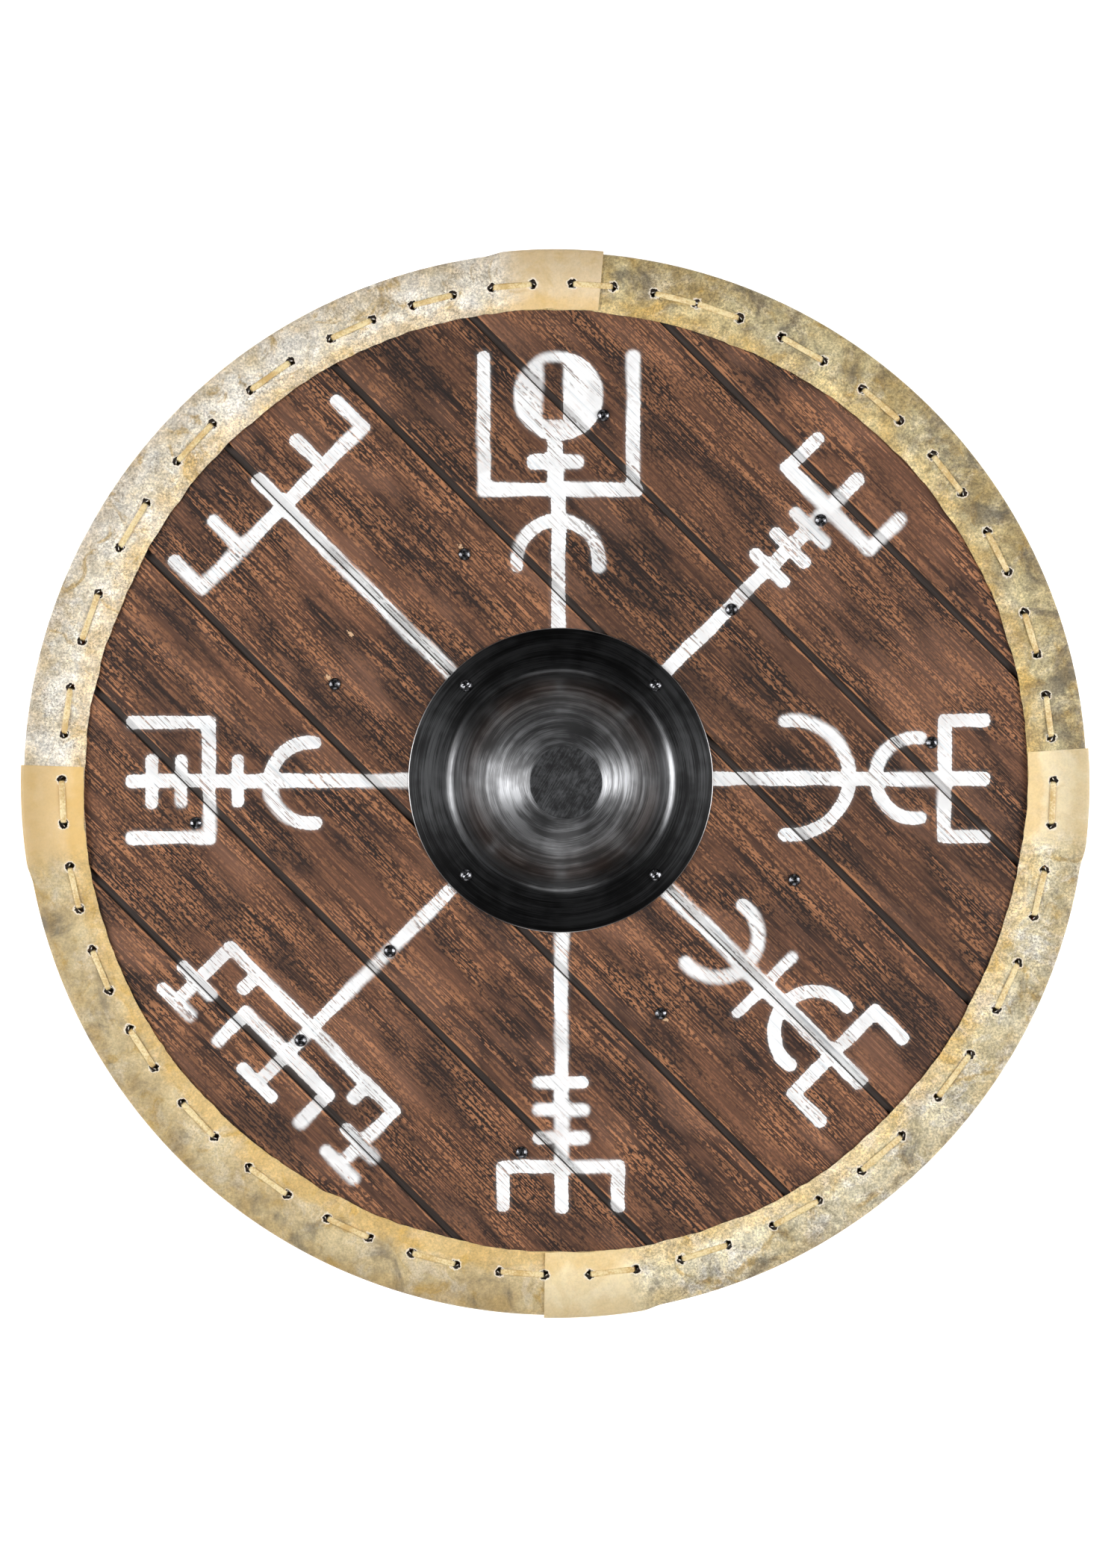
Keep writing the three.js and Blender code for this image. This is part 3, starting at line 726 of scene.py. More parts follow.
@dataclass(frozen=True)
class LaceHide:
    """A thong of scraped rawhide: even pale yellow, a little waxy, with stretched fibres."""

    name: str = "scraped_rawhide_thong"
    pale: str = "#eddaa9"
    dark: str = "#cba96c"

    def make(self) -> bpy.types.Material:
        """Builds the material."""
        box = Paintbox(self.name)
        place = box.millimetres()
        broad = box.clouds(place, (14, 14, 14), detail=3, rough=0.6)
        fine = box.clouds(place, (1.6, 1.6, 1.6), detail=3, rough=0.7)
        mixed = box.add("Math", [broad, fine], **TIMES)
        mixed = box.add("MapRange", [mixed, 0.14, 0.34], **SMOOTH)
        colour = box.add("Mix", {SHARE: mixed, BELOW: self.dark, ABOVE: self.pale}, MIXED, **COLOURS)
        box.relief(fine, 0.12)
        return box.finish(Base_Color=colour, Roughness=0.45, IOR=1.5, Subsurface_Weight=0.15,
                          Subsurface_Radius=(1.0, 0.6, 0.3), Subsurface_Scale=0.0012)


@dataclass(frozen=True)
class BrushedBlackSteel:
    """Mild steel, spun, scoured with an abrasive pad on the wheel and blackened with oil.

    The scratches run round the axis, so lights smear outwards across them, and the oxide shows
    as near-black wherever nothing bright is mirrored.
    """

    name: str = "scoured_blackened_steel"
    oxide: str = "#4c4c4d"
    scoured: str = "#88898b"
    # The pale edge: steel worn bare, and a painted highlight.
    bare_edge_and_highlight: str = "#d2d2d2"

    def make(self) -> bpy.types.Material:
        """Builds the material, for a piece turned about its own Z axis."""
        box = Paintbox(self.name)
        place = box.millimetres()
        flat = box.add("VectorMath", [place, (1.0, 1.0, 0.0)], **TIMES)
        radius = box.add("VectorMath", [flat], "Value", operation="LENGTH")
        height = box.add("SeparateXYZ", [place], "Z")
        turn = box.add("VectorMath", [flat], operation="NORMALIZE")
        # Rings of scratches a third of a millimetre apart, drawn 0.6 mm apart so that they show.
        profile = box.add("Math", [radius, height], operation="SUBTRACT")
        rings = box.add("CombineXYZ", {"Z": profile})
        spun = box.add("VectorMath", {0: turn, "Scale": 55.0}, operation="SCALE")
        spun = box.add("VectorMath", [spun, rings], **PLUS)
        scratches = box.clouds(spun, (26, 26, 0.6), detail=3, rough=0.7)
        bands = box.clouds(spun, (70, 70, 5.5), detail=2, rough=0.5)
        cloudy = box.clouds(place, (34, 34, 34), detail=3, rough=0.6)
        mixed = box.add("Math", [scratches, bands], **TIMES)
        mixed = box.add("Math", [mixed, cloudy], **TIMES)
        mixed = box.add("MapRange", [mixed, 0.07, 0.19], **SMOOTH)
        colour = box.add("Mix", {SHARE: mixed, BELOW: self.oxide, ABOVE: self.scoured}, MIXED, **COLOURS)
        # Painted shade: from just beyond the dome's foot the colour is darkened to 0.45, so the flange
        # mirrors the room more darkly than the dome.
        reach = Boss.wall_radius + 4, Boss.wall_radius + 9
        flange = box.add("MapRange", [radius, *reach, 1.0, 0.45], **SMOOTH)
        colour = box.add("Mix", {SHARE: 1.0, BELOW: colour, ABOVE: flange}, MIXED, **SHADED)
        # The flange's outer edge is painted pale all round: steel worn bare through the oxide, and a painted
        # highlight along the edge.
        edge = box.add("MapRange", [radius, Boss.flange_radius - 0.7, Boss.flange_radius - 0.1], **SMOOTH)
        colour = box.add("Mix", {SHARE: edge, BELOW: colour, ABOVE: self.bare_edge_and_highlight}, MIXED, **COLOURS)
        # The crown half of the dome is painted 1.35 times paler and made more satin, which brightens the
        # lights it mirrors there.
        satin = box.add("MapRange", [radius, 55.0, 49.0], **SMOOTH)
        paler = box.add("MapRange", [satin, 0.0, 1.0, 1.0, 1.35])
        colour = box.add("Mix", {SHARE: 1.0, BELOW: colour, ABOVE: paler}, MIXED, **SHADED)
        gloss = box.add("MapRange", [scratches, 0.3, 0.7, 0.31, 0.41])
        satin = box.add("Math", [satin, 0.11], **TIMES)
        gloss = box.add("Math", [gloss, satin], **PLUS)
        tangent = box.add("Tangent", {}, direction_type="RADIAL", axis="Z")
        box.relief(scratches, 0.008)
        return box.finish(Base_Color=colour, Metallic=1.0, Roughness=gloss, Anisotropic=0.6,
                          Anisotropic_Rotation=0.25, Tangent=tangent)


@dataclass(frozen=True)
class GroundBlackSteel:
    """The same steel on the crown, ground flat in straight strokes before it was blackened.

    It faces the dark above, so it stays a plain dark disc with a faint slanting nap.
    """

    name: str = "ground_blackened_steel"
    oxide: str = "#39393a"
    scoured: str = "#646567"

    def make(self) -> bpy.types.Material:
        """Builds the material."""
        box = Paintbox(self.name)
        # Strokes a third of a millimetre apart, drawn 0.8 mm apart so that they show.
        strokes = box.clouds(box.millimetres(-58), (9, 0.8, 20), detail=3, rough=0.75)
        swirl = box.clouds(box.millimetres(), (9, 9, 9), detail=4, rough=0.7)
        mixed = box.add("Math", [strokes, swirl], **TIMES)
        mixed = box.add("MapRange", [mixed, 0.14, 0.4], **SMOOTH)
        colour = box.add("Mix", {SHARE: mixed, BELOW: self.oxide, ABOVE: self.scoured}, MIXED, **COLOURS)
        gloss = box.add("MapRange", [strokes, 0.3, 0.7, 0.42, 0.55])
        box.relief(strokes, 0.03)
        return box.finish(Base_Color=colour, Metallic=1.0, Roughness=gloss)


@dataclass(frozen=True)
class BlackOxideScrew:
    """Steel screws in black oxide: dark, smooth and slightly oily, so they carry sharp glints."""

    name: str = "black_oxide_steel"
    oxide: str = "#4a4a4c"
    rubbed: str = "#8c8c90"

    def make(self) -> bpy.types.Material:
        """Builds the material."""
        box = Paintbox(self.name)
        place = box.millimetres()
        spots = box.clouds(place, (1.6, 1.6, 1.6), detail=3, rough=0.6)
        rubbed = box.add("MapRange", [spots, 0.42, 0.66], **SMOOTH)
        colour = box.add("Mix", {SHARE: rubbed, BELOW: self.oxide, ABOVE: self.rubbed}, MIXED, **COLOURS)
        gloss = box.add("MapRange", [spots, 0.3, 0.7, 0.22, 0.36])
        box.relief(spots, 0.02)
        return box.finish(Base_Color=colour, Metallic=1.0, Roughness=gloss)


@dataclass(frozen=True)
class StudioFloor:
    """White acrylic over lamps, the usual floor of a product studio: no shadow stays dark on it."""

    name: str = "lit_white_acrylic"
    white: str = "#f6f6f6"
    glow: float = 0.55

    def make(self) -> bpy.types.Material:
        """Builds the material."""
        box = Paintbox(self.name)
        return box.finish(Base_Color=self.white, Roughness=0.9, IOR=1.45,
                          Emission_Color=self.white, Emission_Strength=self.glow)


# ---------------------------------------------------------------- the painted figure


@dataclass(frozen=True)
class Bar:
    """A straight stroke, from inner to outer along the arm and from left to right across it."""

    inner: float
    outer: float
    left: float
    right: float
    round: float = 4.0

    def distance(self, out: Array, side: Array) -> Array:
        """Distance to the stroke's edge, negative inside it."""
        half = (self.outer - self.inner) / 2, (self.right - self.left) / 2
        corner = min(self.round, *half)
        a = np.abs(out - (self.inner + self.outer) / 2) - half[0] + corner
        b = np.abs(side - (self.left + self.right) / 2) - half[1] + corner
        return np.hypot(np.maximum(a, 0), np.maximum(b, 0)) + np.minimum(np.maximum(a, b), 0) - corner


@dataclass(frozen=True)
class Bow:
    """A half-round stroke that opens towards the boss, or away from it."""

    out: float
    side: float
    radius: float
    opens_outward: bool = False
    reach: float = 97.0
    width: float = 9.5

    def distance(self, out: Array, side: Array) -> Array:
        """Distance to the stroke's edge, negative inside it."""
        a = (self.out - out) if self.opens_outward else (out - self.out)
        b = side - self.side
        swing = np.degrees(np.arctan2(np.abs(b), a))
        end = math.radians(self.reach)
        end_a, end_b = self.radius * math.cos(end), self.radius * math.sin(end)
        to_arc = np.abs(np.hypot(a, b) - self.radius)
        to_end = np.hypot(a - end_a, np.abs(b) - end_b)
        return np.where(swing <= self.reach, to_arc, to_end) - self.width / 2


@dataclass(frozen=True)
class Spot:
    """A filled disc with a bare slot left in it."""

    out: float
    side: float
    radius: float
    slot: Bar

    def distance(self, out: Array, side: Array) -> Array:
        """Distance to the painted part's edge, negative inside it."""
        disc = np.hypot(out - self.out, side - self.side) - self.radius
        return np.maximum(disc, -self.slot.distance(out, side))


def tick(out: float, left: float, right: float, width: float = 9.0) -> Bar:
    """A stroke across the arm."""
    return Bar(out - width / 2, out + width / 2, left, right)


def tine(side: float, inner: float, outer: float, width: float = 9.5) -> Bar:
    """A stroke along the arm."""
    return Bar(inner, outer, side - width / 2, side + width / 2)


@dataclass(frozen=True)
class Arm:
    """One of the eight arms: its direction and its strokes, measured from the boss's axis."""

    degrees: float
    strokes: tuple[Any, ...]

    def distance(self, x: Array, y: Array) -> Array:
        """Distance to the nearest stroke's edge, negative inside it."""
        turn = math.radians(self.degrees)
        out = x * math.sin(turn) + y * math.cos(turn)
        side = x * math.cos(turn) - y * math.sin(turn)
        return np.min([stroke.distance(out, side) for stroke in self.strokes], axis=0)


@dataclass(frozen=True)
class Figure:
    """The traditional wayfinder's stave: eight arms with bows, ticks and forks, sprayed white."""

    ATTRIBUTE = "to_paint"
    hand: float = 0.5
    arms: tuple[Arm, ...] = (
        Arm(0, (
            Bar(80, 206, -6.5, 3.5), Bar(203, 241, -9, 2), Bow(154.5, -2, 29),
            Bar(200, 210, -59, 58), Bar(200, 303, -59, -49.5), Bar(200, 303, 46, 56),
            Bar(219.5, 230, -24, 17),
            Spot(271, -1.5, 31.6, Bar(255, 295, -12.6, 1.7, 0.5)),
        )),
        Arm(45, (
            Bar(80, 303, -7, 3), tick(210, -20, 17), tick(230, -20, 17), tick(250, -20, 17),
            Bar(264, 274, -48, 44), tine(-42.5, 264, 303), tine(-1.5, 264, 303), tine(38.5, 264, 303),
        )),
        Arm(90, (
            Bar(80, 303, -6, 4), Bow(163, -2, 40.5), Bow(250.5, -1.75, 28.4, True),
            Bar(266, 275.5, -46.5, 44), tine(-42, 266, 303), tine(39.5, 266, 303),
        )),
        Arm(135, (
            Bar(80, 304, -5, 7), Bow(156.5, 0, 28.5), tick(204, -31, 32, 7.5),
            Bow(252.5, -1, 29, True), Bar(267, 277, -47, 45), tine(-42, 267, 304), tine(40.5, 267, 304),
        )),
        Arm(180, (
            Bar(80, 306, -5.5, 4.5), tick(213, -20, 20), tick(232.5, -20, 20), tick(252.5, -20, 20),
            Bar(268, 277, -45, 46), tine(-40.5, 268, 305), tine(41, 268, 305),
        )),
        Arm(225, (
            Bar(80, 246, -4, 5), Bar(243.5, 252.5, -86, 85), tine(-55, 243.5, 266), tine(54.5, 243.5, 266),
            Bar(248, 302, -4.5, 5), Bar(268, 278, -46, 46), tine(-40.5, 268, 305), tine(41, 268, 305),
            tick(302.2, -18, 19), tine(-81, 244, 302, 9), tick(281.5, -99, -63), tick(302, -99, -63),
            tine(81, 244, 302, 9), tick(281.5, 63, 99), tick(302, 63, 99),
        )),
        Arm(270, (
            Bar(80, 307, -5.5, 4.5), Bow(177, -1.5, 28.5), tick(227.5, -20, 19), tick(267.5, -20, 19),
            tick(288.5, -20, 19), Bar(243, 253, -45, 46), tine(-40.5, 243, 307), tine(41, 243, 307),
        )),
        Arm(315, (
            Bar(80, 305, -6.5, 4), Bar(270, 280, -87, 82), tine(-83, 270, 306), tine(-43.5, 270, 306),
            tine(37.5, 270, 306), tine(77.5, 270, 306),
        )),
    )

    def distance(self, x: Array, y: Array) -> Array:
        """Distance to the paint's edge, negative inside it, drawn with the unsteadiness of a hand."""
        sway, swell = Ripple(41), Ripple(43)
        dx = self.hand * sway.layered(x / 22, y / 22, 2)
        dy = self.hand * sway.layered(x / 22 + 31, y / 22 + 57, 2)
        near = np.min([arm.distance(x + dx, y + dy) for arm in self.arms], axis=0)
        return near + 0.4 * swell.layered(x / 14, y / 14, 2)


# ---------------------------------------------------------------- lace holes


@dataclass(frozen=True)
class HoleRing:
    """Where the lace's holes are: spaced by hand, so they drift round the rim."""

    count: int = 67
    start: float = 18.2
    radius: float = 349.3
    off_centre: float = 3.4
    towards: float = 30.0
    drill: float = 2.8
    drill_sides: int = 20
    drift: Waves = ((1, 2.1, -116), (2, 1.5, -52), (3, 0.7, 166), (4, 1.1, 174))

    def degrees(self, number: Array) -> Array:
        """Clockwise angle from the top of a hole."""
        even = 360 * np.asarray(number, float) / self.count
        return self.start + even + waves(self.drift, even)

    def places(self) -> Array:
        """x and y of every hole, in millimetres."""
        degrees = self.degrees(np.arange(self.count))
        radius = self.radius + self.off_centre * np.cos(np.radians(degrees - self.towards))
        return np.stack(DISC.place(degrees, radius), -1)

    def pegs(self, low: float, high: float) -> bpy.types.Mesh:
        """Pegs to drill every hole with, between two heights."""
        return pegs_mesh("lace_holes", self.places().tolist(), self.drill, low, high, self.drill_sides)


# ---------------------------------------------------------------- boards


@dataclass
class Boards:
    """Eight tongue-and-groove boards with an open square channel along every joint."""

    figure: Figure
    holes: HoleRing
    cover: float = 93.5
    channel: float = 5.6
    tongue: float = 4.0
    tongue_length: float = 6.0
    slack: float = 0.3
    arris: float = 0.8
    dip: float = 0.16
    knock: float = 0.5
    hand_hole: float = 66.0
    hand_hole_sides: int = 96
    first_seed: int = 100
    step: float = 2.6
    pieces: list[bpy.types.Object] = field(default_factory=list)

    def section(self, number: int) -> Array:
        """Outline of one board's section: distance across the boards, and height.

        Args:
            number: 0 for the board at the lower left.

        Returns:
            Points in order round the section.
        """
        reach = DISC.radius - 0.05
        first, last = number == 0, number == len(BOARDS) - 1
        joint = (number - len(BOARDS) / 2) * self.cover
        left = DISC.across - reach if first else joint + self.channel / 2
        right = DISC.across + reach if last else joint + self.cover - self.channel / 2
        back_right = right if last else right + self.channel - self.slack
        face, back, a = DISC.face, DISC.back, self.arris
        top = [(left, face - a), (left + 0.3 * a, face - 0.3 * a)]
        top += [(v, face) for v in np.linspace(left + a, right - a, round((right - left) / self.step))]
        top += [(right - 0.3 * a, face - 0.3 * a), (right, face - a)]
        above, below = DISC.middle + self.tongue / 2, DISC.middle - self.tongue / 2
        if not last:
            seat = right + self.channel
            tip = seat + self.tongue_length
            top += [(right, above + 0.9), (right + 0.2, above), (right + self.channel / 2, above)]
            top += [(seat, above), (tip - 0.5, above), (tip, above - 0.5), (tip, below), (back_right, below)]
        top += [(v, back) for v in np.linspace(back_right, left, 9)]
        if not first:
            depth = left + self.tongue_length + self.slack
            top += [(left, below - self.slack), (depth, below - self.slack)]
            top += [(depth, above + self.slack), (left, above + self.slack)]
        return np.array(top)

    def build_one(self, number: int) -> bpy.types.Object:
        """Builds one board, cut to the round, with its hand hole and lace holes."""
        section = self.section(number)
        across, height = section[:, 0], section[:, 1]
        off = across - DISC.across
        half = np.sqrt(np.maximum(DISC.radius**2 - off**2, 1.0))
        rings = round(2 * half.max() / self.step)
        share = np.linspace(-1, 1, rings)[:, None]
        along = DISC.along + share * half
        across, height = np.broadcast_arrays(across, height)[0] + 0 * along, height + 0 * along
        near_face = smooth_step(DISC.face - 2.5, DISC.face - 0.2, height)
        uneven = Ripple(self.first_seed + number)
        dips = self.dip * uneven.layered(along / 70, across / 13)
        # The arrises are knocked and rubbed, more in some places than in others.
        to_arris = np.minimum(across - across.min(), section[:, 0].max() - across)
        joint = np.abs((across / self.cover - np.round(across / self.cover)) * self.cover)
        at_arris = smooth_step(self.channel / 2 + 2.6, self.channel / 2, joint) * (to_arris > 0.01)
        knocks = smooth_step(0.1, 0.75, uneven.layered(along / 9 + 40, across / 40 + 9))
        height = height + near_face * (dips - self.knock * at_arris * knocks)
        x, y = on_boards(along, across)
        piece = link(swept_mesh(BOARDS[number], np.stack([x, y, height], -1)))
        if number in (len(BOARDS) // 2 - 1, len(BOARDS) // 2):
            hole = self.hand_hole, 0, 2 * DISC.face, self.hand_hole_sides
            drilled(piece, pegs_mesh("hand_hole", [(0.0, 0.0)], *hole))
        drilled(piece, self.holes.pegs(0, 2 * DISC.face))
        soften(piece.data, 40)
        points = vertex_positions(piece.data) / MM
        set_attribute(piece.data, Figure.ATTRIBUTE, self.figure.distance(points[:, 0], points[:, 1]))
        return piece

    def build(self) -> None:
        """Builds every board."""
        self.pieces = [self.build_one(number) for number in range(len(BOARDS))]

    def dress(self, finish: StencilledBoards) -> None:
        """Gives the boards their stain and paint."""
        material = finish.make()
        for node, piece in zip(BOARDS, self.pieces):
            dress(piece, node, material)


# ---------------------------------------------------------------- battens and grip


@dataclass
class Batten:
    """One batten behind the boards; the middle one narrows to a rounded grip behind the boss."""

    node: str
    width: float = 42.0
    chamfer: float = 4.0
    grip_width: float = 32.0
    grip_half: float = 58.0
    grip_taper: float = 26.0
    grip_rounding: float = 7.0
    arris: float = 0.8
    uneven: float = 0.15
    corner_steps: int = 4
    piece: bpy.types.Object | None = None

    @property
    def is_grip(self) -> bool:
        """Whether this is the batten that the hand holds."""
        return self.node == "grip"

    def spread(self) -> tuple[float, float, float, float]:
        """Where it lies: middle along the boards, half its length, and its two heights."""
        low, high = node_box(self.node)
        middle = (low + high) / 2
        length = (high[0] - low[0]) * math.sqrt(2) - self.width + 2 * self.corner_loss
        return float(middle[:2] @ ALONG), length / 2, low[2], high[2]

    @property
    def corner_loss(self) -> float:
        """How much its taken-off end corners shorten its box, along its length."""
        return self.chamfer - 1.0

    def ring(self, across: float, inset: float) -> Array:
        """Outline of the section at one place, as points in the frame.

        Args:
            across: Place along the batten, which lies across the boards.
            inset: How much smaller the section is there, at its sides and its back.
        """
        middle, _, low, high = self.spread()
        grip = self.grip_half
        held = self.is_grip * float(smooth_step(grip + self.grip_taper, grip, abs(across)))
        clear = self.is_grip * float(smooth_step(grip + 4, grip - 2, abs(across)))
        half = self.width / 2 + (self.grip_width - self.width) / 2 * held - inset
        lower = self.chamfer + (self.grip_rounding - self.chamfer) * held
        upper = self.arris + (self.grip_rounding - self.arris) * clear
        corners = (
            (half - lower, low + inset + lower, lower, -90), (half - upper, high - upper, upper, 0),
            (-half + upper, high - upper, upper, 90), (-half + lower, low + inset + lower, lower, 180),
        )
        points = [
            (side + radius * math.cos(math.radians(turn)), z + radius * math.sin(math.radians(turn)))
            for side, z, radius, start in corners
            for turn in np.linspace(start, start + 90, self.corner_steps + 1)
        ]
        side, z = np.array(points).T
        x, y = on_boards(middle + side, np.full_like(side, across))
        return np.stack([x, y, z], -1)

    def build(self) -> None:
        """Builds the batten, with its ends eased."""
        half = self.spread()[1]
        eased = [
            (-half + self.chamfer * (1 - math.cos(turn)), self.corner_loss * (1 - math.sin(turn)))
            for turn in np.linspace(0, HALF_TURN / 2, self.corner_steps + 1)
        ]
        body = [(across, 0.0) for across in np.linspace(-half + self.chamfer, half - self.chamfer, 90)[1:-1]]
        stops = [*eased, *body, *((-across, inset) for across, inset in reversed(eased))]
        rings = np.array([self.ring(across, inset) for across, inset in stops])
        rings[..., 0] += self.uneven * Ripple(len(self.node)).layered(rings[..., 0] / 30, rings[..., 1] / 30)
        self.piece = link(swept_mesh(self.node, rings))
        soften(self.piece.data, 50)

    def dress(self, material: bpy.types.Material) -> None:
        """Gives the batten its wood."""
        dress(self.piece, self.node, material)


# ---------------------------------------------------------------- boss


def arc(radius: float, height: float, size: float,
        start: float, end: float, steps: int) -> Profile:
    """Points on an arc of a profile.

    Args:
        radius: Distance of the arc's centre from the axis.
        height: Height of the arc's centre.
        size: Radius of the arc.
        start: Angle of its first point, in degrees from the outward direction.
        end: Angle of its last point.
        steps: How many parts it has.

    Returns:
        Distance from the axis and height of each point.
    """
    turns = np.radians(np.linspace(start, end, steps + 1))
    return [(radius + size * math.cos(turn), height + size * math.sin(turn)) for turn in turns]


@dataclass
class Boss:
    """The spun steel dome over the hand hole, with a flat ground on its crown."""

    flange_radius: float = 107.5
    sheet: float = 1.8
    wall_radius: float = 74.0
    fillet: float = 8.0
    crown_radius: float = 25.0
    crown_off_x: float = 3.7
    crown_off_y: float = -1.5
    chased: tuple[tuple[float, float, float], ...] = ((-0.3, 56.0, 2.6), (0.2, 50.0, 3.0))
    beaten: float = 0.1
    steps: int = 200
    piece: bpy.types.Object | None = None

    def sphere(self, foot: float, top: float) -> tuple[float, float]:
        """Height of the centre and radius of the dome's sphere.

        Args:
            foot: Height where the dome meets its fillet.
            top: Height of the flat crown.
        """
        drop = self.wall_radius**2 - self.crown_radius**2
        centre = (top + foot - drop / (top - foot)) / 2
        return centre, math.hypot(self.crown_radius, top - centre)

    def profile(self) -> tuple[Profile, Profile]:
        """Outside and inside profiles, both from the crown to the edge."""
        low, high = node_box("boss")
        bottom, top = low[2], high[2]
        seat = bottom + self.sheet
        foot = seat + self.fillet
        centre, size = self.sphere(foot, top)
        steep = math.degrees(math.acos(self.wall_radius / size))
        shallow = math.degrees(math.acos(self.crown_radius / size))
        bend = self.wall_radius + self.fillet
        edge = self.flange_radius
        outside = [(r, top) for r in (0.6, 6, 12, 18, 22, self.crown_radius - 0.7)]
        outside += arc(0, centre, size, shallow, steep, 64)
        outside += arc(bend, foot, self.fillet, 188, 270, 14)
        outside += [(r, seat) for r in np.linspace(bend + 1.5, edge - 0.9, 18)]
        outside += arc(edge - 0.6, seat - 0.6, 0.6, 90, 0, 4)
        inside = [(0.6, top - self.sheet), (self.crown_radius - 1, top - self.sheet)]
        inside += arc(0, centre, size - self.sheet, shallow, steep, 20)
        inside += arc(bend, foot, self.fillet + self.sheet, 188, 270, 6)
        inside += [(edge - 0.5, bottom), (edge, bottom + 0.4)]
        return outside, inside

    def build(self) -> None:
        """Builds the boss, turned by hand and eye: its rings and its crown are a little off."""
        outside, inside = self.profile()
        radius, height = np.array(outside + inside[::-1]).T[:, :, None]
        turn = np.linspace(0, 2 * HALF_TURN, self.steps, endpoint=False)[None, :]
        dome = smooth_step(self.wall_radius + 2, self.wall_radius - 14, radius)
        rings = 0.04 * np.sin(radius * 0.62) + 0.02 * np.sin(radius * 1.7 + 1.0)
        shoulder = sum(high * np.exp(-(((radius - at) / wide) ** 2)) for high, at, wide in self.chased)
        off_crown = smooth_step(self.crown_radius + 1, self.crown_radius + 8, radius)
        across, up = 3 * np.cos(turn) + radius / 26, 3 * np.sin(turn) + radius / 19
        beaten = self.beaten * Ripple(7).layered(across, up, 2)
        height = height + dome * off_crown * (rings + shoulder + beaten)
        lean = smooth_step(58, self.crown_radius, radius)
        x = radius * np.cos(turn) + lean * self.crown_off_x
        y = radius * np.sin(turn) + lean * self.crown_off_y
        points = np.stack([x, y, height + 0 * turn], -1)
        self.piece = link(swept_mesh("boss", points))
        soften(self.piece.data, 24)

    def dress(self, spun: BrushedBlackSteel, ground: GroundBlackSteel) -> None:
        """Gives the dome and flange one finish, and the flat crown another."""
        dress(self.piece, "boss", spun.make())
        self.piece.data.materials.append(ground.make())
        crown = node_box("boss")[1][2] - 0.05
        for face in self.piece.data.polygons:
            if face.center.z / MM > crown:
                face.material_index = 1


# ---------------------------------------------------------------- screws


class Drive(Enum):
    """The shape of the recess in a screw's head."""

    HEX = "hexagon socket"
    CROSS = "cross recess"


@dataclass
class Screw:
    """A round-headed screw that stands on its seat, with a recess in its head."""

    node: str
    drive: Drive
    head_radius: float = 4.4
    head_height: float = 2.6
    shank_radius: float = 2.0
    tip_length: float = 4.0
    hexagon: float = 1.75
    hexagon_turn: float = 0.3
    cross_core: float = 0.55
    cross_reach: float = 1.35
    cross_turn: float = 0.8
    steps: int = 48
    piece: bpy.types.Object | None = None

    def recess(self, turn: Array) -> Array:
        """Radius of the recess's wall at each angle."""
        if self.drive is Drive.HEX:
            sixth = HALF_TURN / 3
            return self.hexagon / np.cos((turn + self.hexagon_turn) % sixth - sixth / 2)
        return self.cross_core + self.cross_reach * np.abs(np.cos(2 * turn + self.cross_turn)) ** 3

    def build(self) -> None:
        """Builds the screw from its tip to the bottom of its recess."""
        low, high = node_box(self.node)
        middle = (low + high) / 2
        top = high[2]
        seat = top - self.head_height
        turn = np.linspace(0, 2 * HALF_TURN, self.steps, endpoint=False)
        even = np.ones_like(turn)
        wall = self.recess(turn)
        shank, head = self.shank_radius, self.head_radius
        profile = [(0.2 * even, low[2]), (shank * even, low[2] + self.tip_length), (shank * even, seat)]
        profile += [(head * even, seat), (head * even, seat + 0.5)]
        profile += [
            (head * math.cos(t) ** 0.9 * even, seat + 0.5 + (self.head_height - 0.5) * math.sin(t))
            for t in np.radians([14, 28, 42, 54])
        ]
        profile += [(wall + 0.28, top - 0.06), (wall + 0.1, top), (wall, top - 0.12)]
        profile += [(0.92 * wall, top - 1.5), (0.2 * wall, top - 1.7)]
        rings = [
            np.stack([middle[0] + r * np.cos(turn), middle[1] + r * np.sin(turn), np.full_like(turn, z)], -1)
            for r, z in profile
        ]
        self.piece = link(swept_mesh(self.node, np.array(rings)))
        soften(self.piece.data, 35)

    def dress(self, material: bpy.types.Material) -> None:
        """Gives the screw its black oxide."""
        dress(self.piece, self.node, material)


# ---------------------------------------------------------------- rawhide rim


class End(Enum):
    """How a strip of the rim ends: over its neighbour or under it."""

    OVER = "over"
    UNDER = "under"


